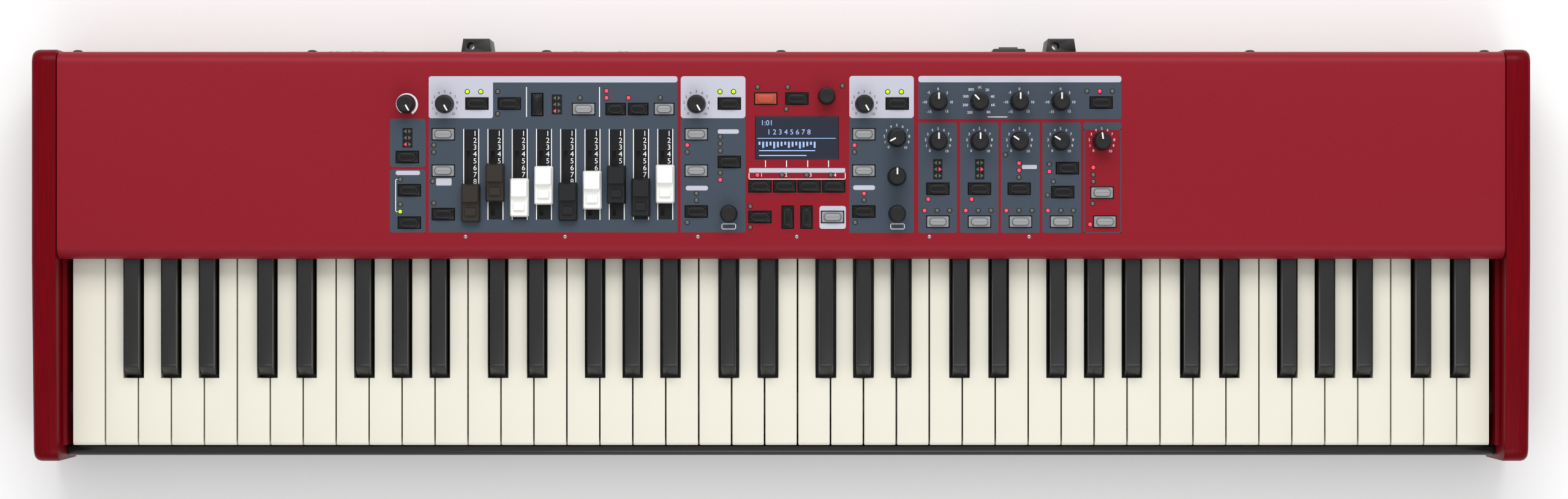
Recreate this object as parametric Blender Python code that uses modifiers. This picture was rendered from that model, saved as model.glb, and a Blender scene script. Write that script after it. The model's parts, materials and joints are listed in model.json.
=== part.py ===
"""Stage keyboard with waterfall keys, nine drawbars and a folded, painted control panel.

Frame: X runs along the keys to the right, Y from the player to the rear, Z up.
The origin lies on the table, under the middle of the instrument.
"""

import math

import bmesh
import bpy
from mathutils import Matrix, Vector

MM = 0.001
CLEARANCE = 0.3 * MM

# Heights above the table
FOOT_HEIGHT = 7.0 * MM
WHITE_TOP = 61.0 * MM
BLACK_RISE = 10.0 * MM
PANEL_TOP = 83.0 * MM
CHEEK_TOP = 84.5 * MM

# Keys, as seen by the player
KEY_PITCH = 23.5 * MM
KEY_GAP = 1.15 * MM
WHITE_KEYS = 43
WHITE_BODY = 13.0 * MM
WHITE_FRONT = 20.0 * MM
WHITE_LIP = 4.0 * MM
WHITE_NOSE_RADIUS = 2.6 * MM
NOTCH_WIDTH = 14.7 * MM
NOTCH_SETBACK = 47.8 * MM
BLACK_WIDTH = 10.7 * MM
BLACK_TOP_WIDTH = 9.7 * MM
BLACK_SLOPE = 6.4 * MM
BLACK_EDGE_RADIUS = 3.0 * MM
BLACK_FRONT_GAP = 2.2 * MM
BLACK_TAIL_DROP = 9.0 * MM
BLACK_UNDER_PANEL = 12.0 * MM
KEY_PIVOT_SETBACK = 200.0 * MM
KEY_TAIL = 3.4 * MM
LIP_SLOPE = 7.0 * MM
COMB_STRIP = 8.0 * MM

# The first key is an E. A black key stands to the right of the notes listed here,
# shifted from the gap between its neighbours by so many millimetres.
NOTE_NAMES = "EFGABCD"
BLACK_SHIFTS = {"F": -3.3, "G": 0.0, "A": 3.4, "C": -2.0, "D": 2.4}
PLAYED_OCTAVE_START = 19
PLAYED_OCTAVE_KEYS = 7

# Wooden cheeks at both ends
CHEEK_WIDTH = 17.8 * MM
CHEEK_DEPTH = 292.0 * MM
CHEEK_REAR_PROUD = 1.4 * MM
CHEEK_FRONT_DROP = 7.0 * MM
CHEEK_TOP_CORNER = 9.0 * MM
CHEEK_BOTTOM_CORNER = 6.0 * MM
CHEEK_EDGE = 4.8 * MM
LEDGE_WIDTH = 3.2 * MM
LEDGE_BELOW_KEYS = 1.0 * MM
LEDGE_HEIGHT = 40.0 * MM
KEYS_TO_LEDGE = 4.5 * MM
KEYS_BEHIND_CHEEKS = 10.9 * MM

# Folded top panel
SHEET = 1.5 * MM
PANEL_DEPTH = 147.0 * MM
PANEL_REAR_RADIUS = 9.0 * MM
PANEL_NOSE_RADIUS = 10.8 * MM
PANEL_END_GAP = 0.6 * MM
SKIRT_BOTTOM = 9.0 * MM

# Front rail and bottom plate
SLIP_SETBACK = 2.8 * MM
SLIP_THICKNESS = 7.0 * MM
SLIP_TOP = 46.0 * MM
SLIP_RADIUS = 3.5 * MM
BOTTOM_SHEET = 1.2 * MM
BOTTOM_FLANGE = 2.5 * MM
FOOT_RADIUS = 10.0 * MM
FOOT_INSET_X = 75.0 * MM
FOOT_INSET_Y = 38.0 * MM

# Steel keybed under the keys
KEYBED_SHEET = 1.2 * MM
KEYBED_FRONT_SETBACK = 6.0 * MM
STOP_RAIL_SETBACK = 22.0 * MM
STOP_RAIL_WIDTH = 14.0 * MM
STOP_RAIL_TOP = 37.0 * MM
PIVOT_RAIL_LEAD = 2.0 * MM
PIVOT_RAIL_DEPTH = 15.0 * MM

# Rotary knobs: place from the middle and from the panel's rear edge, both in millimetres
KNOB_BASE_RADIUS = 6.7 * MM
KNOB_TOP_RADIUS = 5.3 * MM
KNOB_HEIGHT = 14.0 * MM
KNOB_EDGE = 1.1 * MM
KNOB_LIFT = 0.6 * MM
KNOB_SIDES = 18
ENCODER_BASE_RADIUS = 6.2 * MM
ENCODER_TOP_RADIUS = 5.1 * MM
ENCODER_HEIGHT = 12.0 * MM
SHAFT_RADIUS = 3.0 * MM
SHAFT_HOLE_RADIUS = 3.6 * MM
KNOB_PLACES = {
    "master_level_knob": (-264.7, 37.6),
    "organ_level_knob": (-237.7, 37.6),
    "piano_level_knob": (-59.8, 37.6),
    "sample_level_knob": (58.9, 37.6),
    "attack_knob": (81.8, 61.4),
    "decay_knob": (81.8, 88.8),
    "bass_knob": (111.0, 35.8),
    "mid_frequency_knob": (140.2, 35.8),
    "mid_gain_knob": (168.4, 35.8),
    "treble_knob": (197.5, 35.8),
    "effect_1_knob": (111.0, 63.9),
    "effect_2_knob": (140.2, 63.9),
    "speaker_knob": (168.4, 63.9),
    "delay_knob": (197.5, 63.9),
    "reverb_knob": (226.6, 63.9),
}
ENCODER_PLACES = {
    "program_encoder": (32.2, 32.0),
    "piano_select_encoder": (-36.9, 115.1),
    "sample_select_encoder": (82.0, 115.1),
}

# Push buttons, in the same coordinates, by the block of the panel that they stand in
BUTTON_HOLE = (16.0 * MM, 8.3 * MM)
BUTTON_CAP = (15.0 * MM, 7.3 * MM)
BUTTON_PILL = (12.1 * MM, 5.4 * MM)
BUTTON_CAP_PROUD = 0.6 * MM
BUTTON_PILL_PROUD = 2.6 * MM
BUTTON_TRAVEL = 1.0 * MM
BUTTON_PLACES = (
    (-264.1, 75.0), (-262.7, 98.5), (-262.7, 121.4),
    (-214.9, 37.2), (-192.1, 37.2), (-139.5, 41.1), (-116.9, 41.1), (-100.9, 41.1), (-82.6, 41.1),
    (-238.7, 58.9), (-238.7, 84.7), (-238.7, 115.4),
    (-36.6, 37.2), (-59.9, 58.9), (-59.9, 84.7), (-59.9, 113.5), (-36.6, 78.5),
    (11.2, 33.7), (-14.9, 95.7), (2.5, 95.7), (19.8, 95.7), (37.2, 95.7), (-14.9, 117.4),
    (36.4, 117.4),
    (82.1, 37.2), (58.5, 58.9), (58.5, 84.7), (58.5, 113.5),
    (226.2, 36.5), (110.8, 97.4), (140.2, 97.4), (168.3, 97.4), (202.3, 82.9), (199.0, 99.8),
    (226.8, 100.2), (110.8, 120.7), (140.2, 120.7), (169.2, 120.7), (198.2, 120.7), (228.8, 120.7),
)
NARROW_BUTTONS = ((-116.9, 41.1), (-100.9, 41.1), (-82.6, 41.1))
NARROW_BY = 2.0 * MM
STORE_BUTTON_PLACE = (-10.8, 33.7)
VIBRATO_ROCKER_PLACE = (-172.3, 37.9)
PAGE_ROCKER_PLACES = ((4.7, 117.5), (18.0, 117.5))

# Drawbars
DRAWBAR_SETTINGS = (8.0, 5.0, 7.2, 5.4, 7.8, 6.1, 5.3, 7.2, 5.2)
DRAWBAR_STEP = 4.8 * MM
DRAWBAR_STEPS = 8
DRAWBAR_FIRST_X = -219.0 * MM
DRAWBAR_PITCH = 17.14 * MM
DRAWBAR_HOME = 55.5 * MM
DRAWBAR_WIDTH = 13.4 * MM
DRAWBAR_TOP_NARROWING = 1.2 * MM
DRAWBAR_LENGTH = 27.3 * MM
DRAWBAR_HEIGHT = 8.0 * MM
DRAWBAR_LIFT = 1.2 * MM
DRAWBAR_STEM_OFFSET = -1.8 * MM
DRAWBAR_STEM_WIDTH = 2.2 * MM
DRAWBAR_STEM_START = 15.4 * MM
DRAWBAR_STEM_LENGTH = 6.7 * MM

# Display window and the circuit board behind the panel
DISPLAY_PLACE = (11.2, 61.35)
DISPLAY_SIZE = (58.6 * MM, 29.9 * MM)
DISPLAY_THICKNESS = 2.0 * MM
BOARD_THICKNESS = 1.6 * MM
BOARD_DEPTH_BELOW_PANEL = 11.0 * MM
BOARD_X = (-282.0 * MM, 246.0 * MM)
BOARD_SETBACK = (19.0 * MM, 134.5 * MM)
BOARD_POST_RADIUS = 3.0 * MM
FRONT_POSTS = (-223.0, -152.7, -58.8, 11.1, 104.8, 175.3)
FRONT_POST_SETBACK = 131.4 * MM
REAR_POSTS = (-276.0, -100.0, 60.0, 240.0)
REAR_POST_SETBACK = 22.5 * MM

# Parts on the circuit board
SWITCH_BODY = 6.0 * MM
SWITCH_GAP = BUTTON_TRAVEL + CLEARANCE
MOVING_BUTTON_DEPTH = 3.0 * MM
POT_BODY = 10.0 * MM
POT_HEIGHT = 6.5 * MM
SLIDER_WIDTH = 8.0 * MM
SLIDER_END = 5.0 * MM
SLIDER_HEIGHT = 5.5 * MM

# Rear connectors: place along X in millimetres, all on one line
CONNECTOR_HEIGHT = 20.0 * MM
JACK_PLACES = (-323.6, -307.6, -291.2, -146.6, -114.2)
JACK_BORE_RADIUS = 3.25 * MM
JACK_BUSH_RADIUS = 4.5 * MM
JACK_NUT_RADIUS = 6.0 * MM
JACK_NUT_THICKNESS = 2.0 * MM
JACK_BUSH_PROUD = 3.4 * MM
JACK_BODY = (13.0 * MM, 24.0 * MM)
JACK_BORE_DEPTH = 20.0 * MM
MINI_JACK_PLACES = (-340.3, -276.7)
MINI_JACK_RADIUS = 3.0 * MM
MINI_JACK_BORE_RADIUS = 1.8 * MM
DIN_PLACES = (-186.6, -166.4)
DIN_RADIUS = 7.6 * MM
DIN_FACE_RADIUS = 5.4 * MM
DIN_WALL = 0.8 * MM
DIN_SOCKET_DEPTH = 8.0 * MM
USB_PLACE = -130.4
USB_SHELL = (12.0 * MM, 11.0 * MM)
USB_MOUTH = (8.5 * MM, 7.8 * MM)
USB_TONGUE = (5.6 * MM, 3.0 * MM)
USB_DEPTH = 9.0 * MM
CONNECTOR_BOARD_X = (-350.0 * MM, -102.0 * MM)
CONNECTOR_BOARD_DEPTH = 46.0 * MM
CONNECTOR_BOARD_BOTTOM = 11.0 * MM

# Mains inlet with its switch, one tall moulding
INLET_X = 162.4 * MM
INLET_FLANGE = (23.5 * MM, 50.0 * MM)
INLET_FLANGE_THICKNESS = 2.6 * MM
INLET_BOTTOM = 14.0 * MM
INLET_BODY = (20.5 * MM, 46.0 * MM)
INLET_BODY_DEPTH = 22.0 * MM
INLET_MOUTH = (16.4 * MM, 24.0 * MM)
INLET_MOUTH_DEPTH = 16.0 * MM
INLET_MOUTH_RISE = 3.5 * MM
SWITCH_MOUTH = (14.0 * MM, 13.0 * MM)
SWITCH_MOUTH_RISE = 31.5 * MM
SWITCH_DEPTH = 9.0 * MM
SWITCH_ROCKER_RADIUS = 5.4 * MM
SWITCH_ROCK = math.radians(10.0)

# Sockets for a music stand on the rear
BRACKET_PLACES = {"left_stand_socket": -217.2, "right_stand_socket": 199.5}
BRACKET_REACH = 10.1 * MM
BRACKET_REAR_WIDTH = 18.7 * MM
BRACKET_PANEL_WIDTH = 21.6 * MM
BRACKET_BOTTOM = 22.0 * MM
BRACKET_TOP = 62.0 * MM
BRACKET_BORE_RADIUS = 2.65 * MM
BRACKET_BORE_OFFSET = -3.9 * MM
BRACKET_BORE_FROM_REAR = 5.4 * MM

# Places that follow from the sizes above
OVERALL_DEPTH = CHEEK_DEPTH - CHEEK_REAR_PROUD + BRACKET_REACH
FRONT_Y = -OVERALL_DEPTH / 2
PANEL_REAR = OVERALL_DEPTH / 2 - BRACKET_REACH
PANEL_NOSE = PANEL_REAR - PANEL_DEPTH
KEY_FRONT = FRONT_Y + KEYS_BEHIND_CHEEKS
PIVOT_Y = KEY_FRONT + KEY_PIVOT_SETBACK
WHITE_BOTTOM = WHITE_TOP - WHITE_BODY
BLACK_TOP = WHITE_TOP + BLACK_RISE
KEYS_HALF_WIDTH = WHITE_KEYS * KEY_PITCH / 2 - KEY_GAP / 2
LEDGE_INNER_X = KEYS_HALF_WIDTH + KEYS_TO_LEDGE
CHEEK_INNER_X = LEDGE_INNER_X + LEDGE_WIDTH
PANEL_END_X = CHEEK_INNER_X - PANEL_END_GAP
PANEL_UNDERSIDE = PANEL_TOP - SHEET
NOSE_BOTTOM = PANEL_TOP - PANEL_NOSE_RADIUS
BOARD_TOP = PANEL_TOP - BOARD_DEPTH_BELOW_PANEL
SKIRT_INNER = PANEL_REAR - SHEET
BOTTOM_TOP = FOOT_HEIGHT + BOTTOM_SHEET

AXES = {"XY": Matrix.Identity(3), "YZ": Matrix(((0, 0, 1), (1, 0, 0), (0, 1, 0))),
        "XZ": Matrix(((1, 0, 0), (0, 0, -1), (0, 1, 0)))}


def clear_scene():
    for obj in list(bpy.data.objects):
        bpy.data.objects.remove(obj, do_unlink=True)


def new_collection(name):
    collection = bpy.data.collections.new(name)
    bpy.context.scene.collection.children.link(collection)
    return collection


def finish_of(name, colour, roughness, metallic=0.0):
    """A plain Principled material for one sub-part."""
    made = bpy.data.materials.new(name)
    made.use_nodes = True
    shader = made.node_tree.nodes["Principled BSDF"]
    shader.inputs["Base Color"].default_value = (*colour, 1.0)
    shader.inputs["Roughness"].default_value = roughness
    shader.inputs["Metallic"].default_value = metallic
    made.diffuse_color = (*colour, 1.0)
    return made


def add_block(bm, x, y, z):
    """A box between the low and high value of each axis."""
    low = Vector((x[0], y[0], z[0]))
    high = Vector((x[1], y[1], z[1]))
    size = high - low
    place = Matrix.Translation((low + high) / 2) @ Matrix.Diagonal((*size, 1.0))
    return bmesh.ops.create_cube(bm, size=1.0, matrix=place)["verts"]


def add_rod(bm, centre, radius, length, axis="Z", sides=12):
    """A closed cylinder with its middle at the centre."""
    turn = {"X": Matrix.Rotation(math.pi / 2, 4, "Y"), "Y": Matrix.Rotation(math.pi / 2, 4, "X"),
            "Z": Matrix.Identity(4)}[axis]
    return bmesh.ops.create_cone(bm, cap_ends=True, segments=sides, radius1=radius, radius2=radius,
                                 depth=length, matrix=Matrix.Translation(centre) @ turn)["verts"]


def rounded(corners, steps=4):
    """Outline points from (u, v, radius) corners, each corner turned into an arc."""
    points = []
    for index, (u, v, radius) in enumerate(corners):
        corner = Vector((u, v))
        if not radius:
            points.append(corner)
            continue
        before = Vector(corners[index - 1][:2]) - corner
        after = Vector(corners[(index + 1) % len(corners)][:2]) - corner
        half_angle = before.angle(after) / 2
        middle = corner + (before.normalized() + after.normalized()).normalized() * (
            radius / math.sin(half_angle))
        start = corner + before.normalized() * (radius / math.tan(half_angle)) - middle
        end = corner + after.normalized() * (radius / math.tan(half_angle)) - middle
        turn = start.angle_signed(end)
        for step in range(steps + 1):
            angle = -turn * step / steps
            points.append(middle + Matrix.Rotation(angle, 2) @ start)
    return points


def add_plate(bm, outline, span, plane):
    """A flat outline, pushed from one end of the span to the other, square to its plane."""
    curve = bpy.data.curves.new("outline", "CURVE")
    curve.dimensions = "2D"
    curve.fill_mode = "BOTH"
    curve.extrude = (span[1] - span[0]) / 2
    spline = curve.splines.new("POLY")
    spline.points.add(len(outline) - 1)
    for point, place in zip(spline.points, outline):
        point.co = (place[0], place[1], 0.0, 1.0)
    spline.use_cyclic_u = True
    holder = bpy.data.objects.new("outline", curve)
    bpy.context.scene.collection.objects.link(holder)
    graph = bpy.context.evaluated_depsgraph_get()
    mesh = bpy.data.meshes.new_from_object(holder.evaluated_get(graph))
    bpy.data.objects.remove(holder)
    bpy.data.curves.remove(curve)
    solid = bmesh.new()
    solid.from_mesh(mesh)
    bpy.data.meshes.remove(mesh)
    bmesh.ops.remove_doubles(solid, verts=solid.verts, dist=0.002 * MM)
    bmesh.ops.dissolve_limit(solid, angle_limit=0.001, verts=solid.verts, edges=solid.edges)
    shift = Matrix.Translation((0.0, 0.0, (span[0] + span[1]) / 2))
    solid.transform(AXES[plane].to_4x4() @ shift)
    solid.normal_update()
    bmesh.ops.recalc_face_normals(solid, faces=solid.faces)
    moved = bpy.data.meshes.new("plate")
    solid.to_mesh(moved)
    solid.free()
    before = len(bm.verts)
    bm.from_mesh(moved)
    bpy.data.meshes.remove(moved)
    bm.verts.ensure_lookup_table()
    return bm.verts[before:]


def bevel_edges(bm, chosen, width, steps):
    bmesh.ops.bevel(bm, geom=chosen, offset=width, segments=steps, profile=0.5, affect="EDGES",
                    clamp_overlap=True)


def make_object(name, bm, collection, origin=(0.0, 0.0, 0.0)):
    """An object whose origin lies at the given place, with the mesh left where it is."""
    bm.transform(Matrix.Translation(-Vector(origin)))
    mesh = bpy.data.meshes.new(name)
    bm.to_mesh(mesh)
    bm.free()
    obj = bpy.data.objects.new(name, mesh)
    obj.location = origin
    collection.objects.link(obj)
    return obj


def make_part(name, bm, material, origin=(0.0, 0.0, 0.0), smooth_angle=None):
    obj = make_object(name, bm, keyboard, origin)
    obj.data.materials.append(material)
    if smooth_angle is not None:
        obj.data.shade_smooth()
        obj.data.set_sharp_from_angle(angle=math.radians(smooth_angle))
    return obj


def make_cutter(name, bm):
    obj = make_object(name, bm, cutters)
    obj.hide_render = True
    obj.display_type = "WIRE"
    return obj


def combine(obj, other, operation):
    change = obj.modifiers.new(other.name, "BOOLEAN")
    change.operation = operation
    change.solver = "EXACT"
    change.object = other
    return change


def on_panel(place):
    """World X and Y of a place given in millimetres from the middle and the panel's rear edge."""
    return place[0] * MM, PANEL_REAR - place[1] * MM


def centred(middle, size):
    return middle - size / 2, middle + size / 2


def white_key_span(index):
    left = (index - WHITE_KEYS / 2) * KEY_PITCH
    return left + KEY_GAP / 2, left + KEY_PITCH - KEY_GAP / 2


def black_key_centres():
    """Each black key's middle, by the number of the white key on its left."""
    centres = {}
    for index in range(WHITE_KEYS - 1):
        note = NOTE_NAMES[index % len(NOTE_NAMES)]
        if note in BLACK_SHIFTS:
            gap = (index + 1 - WHITE_KEYS / 2) * KEY_PITCH
            centres[index] = gap + BLACK_SHIFTS[note] * MM
    return centres


def is_played(index):
    return 0 <= index - PLAYED_OCTAVE_START < PLAYED_OCTAVE_KEYS


def add_white_key(bm, index, joins_comb):
    """The key's side outline, with its rounded nose and the lip that hangs down in front."""
    lip_bottom = WHITE_TOP - WHITE_FRONT
    comb_end = COMB_FRONT + COMB_STRIP / 2 if joins_comb else KEY_REAR
    outline = rounded([
        (KEY_FRONT, lip_bottom, 0), (KEY_FRONT, WHITE_TOP, WHITE_NOSE_RADIUS), (KEY_REAR, WHITE_TOP, 0),
        (KEY_REAR, COMB_SPLIT, 0), (comb_end, COMB_SPLIT, 0), (comb_end, WHITE_BOTTOM, 0),
        (KEY_FRONT + WHITE_LIP + LIP_SLOPE, WHITE_BOTTOM, 0), (KEY_FRONT + WHITE_LIP, lip_bottom, 0)],
        steps=3)
    add_plate(bm, outline, white_key_span(index), "YZ")


def add_black_key(bm, centre, joins_comb):
    """A raised cap with a sloping front and tapered sides, on a lower tail that runs to the pivot."""
    front = KEY_FRONT + NOTCH_SETBACK + BLACK_FRONT_GAP
    cap_rear = PANEL_NOSE + BLACK_UNDER_PANEL
    tail_top = BLACK_TOP - BLACK_TAIL_DROP
    comb_end = COMB_FRONT + COMB_STRIP / 2 if joins_comb else KEY_REAR
    outline = rounded([
        (front, WHITE_BOTTOM, 0), (front, WHITE_TOP, 0), (front + BLACK_SLOPE, BLACK_TOP, BLACK_EDGE_RADIUS),
        (cap_rear, BLACK_TOP, 0), (cap_rear, tail_top, 0), (comb_end, tail_top, 0),
        (comb_end, COMB_SPLIT + CLEARANCE, 0), (KEY_REAR, COMB_SPLIT + CLEARANCE, 0),
        (KEY_REAR, WHITE_BOTTOM, 0)], steps=2)
    narrowing = 1 - BLACK_TOP_WIDTH / BLACK_WIDTH
    for vert in add_plate(bm, outline, centred(centre, BLACK_WIDTH), "YZ"):
        rise = max(0.0, (vert.co.z - WHITE_TOP) / BLACK_RISE)
        vert.co.x = centre + (vert.co.x - centre) * (1 - rise * narrowing)


def make_comb_strip(name, low, high):
    """The strip behind the pivots that a comb's keys are moulded to."""
    bm = bmesh.new()
    add_block(bm, (-KEYS_HALF_WIDTH, KEYS_HALF_WIDTH), (COMB_FRONT, COMB_FRONT + COMB_STRIP), (low, high))
    return make_cutter(name, bm)


def make_keys():
    """One octave of separate keys on the pivot rail, the rest moulded as a white and a black comb."""
    centres = black_key_centres()
    bm = bmesh.new()
    for centre in centres.values():
        add_block(bm, centred(centre, NOTCH_WIDTH), (KEY_FRONT + NOTCH_SETBACK, KEY_REAR + CLEARANCE),
                  (WHITE_BOTTOM - WHITE_FRONT, BLACK_TOP))
    notches = make_cutter("black_key_notches", bm)

    bm = bmesh.new()
    for index in range(WHITE_KEYS):
        if not is_played(index):
            add_white_key(bm, index, joins_comb=True)
    comb = make_part("white_keys", bm, IVORY, smooth_angle=35)
    combine(comb, make_comb_strip("white_comb_strip", WHITE_BOTTOM, COMB_SPLIT), "UNION")
    combine(comb, notches, "DIFFERENCE")

    bm = bmesh.new()
    for index, centre in centres.items():
        if not is_played(index):
            add_black_key(bm, centre, joins_comb=True)
    comb = make_part("black_keys", bm, BLACK_PLASTIC, smooth_angle=35)
    strip_top = BLACK_TOP - BLACK_TAIL_DROP
    combine(comb, make_comb_strip("black_comb_strip", COMB_SPLIT + CLEARANCE, strip_top), "UNION")

    for index in range(PLAYED_OCTAVE_START, PLAYED_OCTAVE_START + PLAYED_OCTAVE_KEYS):
        note = NOTE_NAMES[index % len(NOTE_NAMES)].lower()
        left, right = white_key_span(index)
        bm = bmesh.new()
        add_white_key(bm, index, joins_comb=False)
        key = make_part(f"white_key_{note}", bm, IVORY, ((left + right) / 2, PIVOT_Y, WHITE_BOTTOM), 35)
        combine(key, notches, "DIFFERENCE")
        if index in centres:
            bm = bmesh.new()
            add_black_key(bm, centres[index], joins_comb=False)
            pivot = (centres[index], PIVOT_Y, WHITE_BOTTOM)
            make_part(f"black_key_{note}_sharp", bm, BLACK_PLASTIC, pivot, 35)


def make_cheek(name, side):
    """A wooden end block whose top edge falls gently towards the player, with a step beside the keys."""
    rear = PANEL_REAR + CHEEK_REAR_PROUD
    outline = rounded([
        (FRONT_Y, FOOT_HEIGHT, CHEEK_BOTTOM_CORNER),
        (FRONT_Y, CHEEK_TOP - CHEEK_FRONT_DROP, CHEEK_TOP_CORNER),
        (PANEL_NOSE, CHEEK_TOP, 0), (rear, CHEEK_TOP, CHEEK_TOP_CORNER),
        (rear, FOOT_HEIGHT, CHEEK_BOTTOM_CORNER)])
    bm = bmesh.new()
    outer = CHEEK_INNER_X + CHEEK_WIDTH
    add_plate(bm, outline, (CHEEK_INNER_X, outer), "YZ")
    rim = [edge for edge in bm.edges if all(vert.co.x > outer - CLEARANCE for vert in edge.verts)]
    bevel_edges(bm, rim, CHEEK_EDGE, 3)
    if side < 0:
        bmesh.ops.scale(bm, vec=(-1, 1, 1), verts=bm.verts)
        bmesh.ops.reverse_faces(bm, faces=bm.faces)
    cheek = make_part(name, bm, RED_WOOD, smooth_angle=35)
    bm = bmesh.new()
    ledge_top = WHITE_TOP - LEDGE_BELOW_KEYS
    x = sorted((side * LEDGE_INNER_X, side * (CHEEK_INNER_X + CHEEK_WIDTH / 2)))
    add_block(bm, x, (KEY_FRONT, KEY_REAR), (ledge_top - LEDGE_HEIGHT, ledge_top))
    combine(cheek, make_cutter(name + "_ledge", bm), "UNION")


def make_top_panel():
    """One folded sheet: nose, top and rear skirt, with a hole for each control."""
    half = SHEET / 2
    fold = rounded([
        (PANEL_NOSE + half, NOSE_BOTTOM, 0),
        (PANEL_NOSE + half, PANEL_TOP - half, PANEL_NOSE_RADIUS - half - CLEARANCE),
        (PANEL_REAR - half, PANEL_TOP - half, PANEL_REAR_RADIUS - half),
        (PANEL_REAR - half, SKIRT_BOTTOM, 0)], steps=5)
    panel = make_folded("top_panel", fold, PANEL_END_X, SHEET, RED_PAINT)
    combine(panel, make_panel_holes(), "DIFFERENCE")
    combine(panel, make_skirt_holes(), "DIFFERENCE")


def make_panel_holes():
    """Shaft holes, button windows, drawbar slits and the display window, as one cutter."""
    bm = bmesh.new()
    through = (PANEL_UNDERSIDE - MM, PANEL_TOP + MM)
    middle = (through[0] + through[1]) / 2
    for place in (*KNOB_PLACES.values(), *ENCODER_PLACES.values()):
        x, y = on_panel(place)
        add_rod(bm, (x, y, middle), SHAFT_HOLE_RADIUS, through[1] - through[0], sides=10)
    for place in (*BUTTON_PLACES, STORE_BUTTON_PLACE):
        x, y = on_panel(place)
        add_block(bm, centred(x, button_width(BUTTON_HOLE, place)), centred(y, BUTTON_HOLE[1]), through)
    for place in (VIBRATO_ROCKER_PLACE, *PAGE_ROCKER_PLACES):
        x, y = on_panel(place)
        add_block(bm, centred(x, BUTTON_HOLE[1]), centred(y, BUTTON_HOLE[0]), through)
    for x in drawbar_middles():
        add_block(bm, centred(x + DRAWBAR_STEM_OFFSET, DRAWBAR_STEM_WIDTH + 2 * CLEARANCE), SLIT_Y, through)
    x, y = on_panel(DISPLAY_PLACE)
    add_block(bm, centred(x, DISPLAY_SIZE[0] + 2 * CLEARANCE),
              centred(y, DISPLAY_SIZE[1] + 2 * CLEARANCE), through)
    return make_cutter("panel_holes", bm)


def make_skirt_holes():
    """The connectors' holes in the rear skirt, as one cutter."""
    bm = bmesh.new()
    through = (SKIRT_INNER - MM, PANEL_REAR + MM)
    middle = (through[0] + through[1]) / 2
    round_holes = [(JACK_PLACES, JACK_BUSH_RADIUS), (MINI_JACK_PLACES, MINI_JACK_RADIUS),
                   (DIN_PLACES, DIN_RADIUS)]
    for places, radius in round_holes:
        for place in places:
            centre = (place * MM, middle, CONNECTOR_HEIGHT)
            add_rod(bm, centre, radius + CLEARANCE, through[1] - through[0], "Y", 16)
    add_block(bm, centred(USB_PLACE * MM, USB_SHELL[0] + 2 * CLEARANCE), through,
              centred(CONNECTOR_HEIGHT, USB_SHELL[1] + 2 * CLEARANCE))
    add_block(bm, centred(INLET_X, INLET_BODY[0] + 2 * CLEARANCE), through,
              centred(INLET_MIDDLE, INLET_BODY[1] + 2 * CLEARANCE))
    return make_cutter("skirt_holes", bm)


def drawbar_middles():
    return [DRAWBAR_FIRST_X + DRAWBAR_PITCH * index for index in range(len(DRAWBAR_SETTINGS))]


def button_width(size, place):
    return size[0] - NARROW_BY if place in NARROW_BUTTONS else size[0]


def add_button(bm, place, upright=False, base=None):
    """A flat cap with an oblong raised middle, standing on the board."""
    x, y = on_panel(place)
    sizes = [(button_width(BUTTON_CAP, place), BUTTON_CAP[1]),
             (button_width(BUTTON_PILL, place), BUTTON_PILL[1])]
    if upright:
        sizes = [(depth, width) for width, depth in sizes]
    cap_top = PANEL_TOP + BUTTON_CAP_PROUD
    add_block(bm, centred(x, sizes[0][0]), centred(y, sizes[0][1]), (base, cap_top))
    half_width, half_depth = sizes[1][0] / 2, sizes[1][1] / 2
    corner = min(half_width, half_depth) * 0.9
    corners = [(x - half_width, y - half_depth, corner), (x + half_width, y - half_depth, corner),
               (x + half_width, y + half_depth, corner), (x - half_width, y + half_depth, corner)]
    outline = rounded(corners, steps=2)
    return outline, (cap_top - MM, PANEL_TOP + BUTTON_PILL_PROUD)


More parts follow.
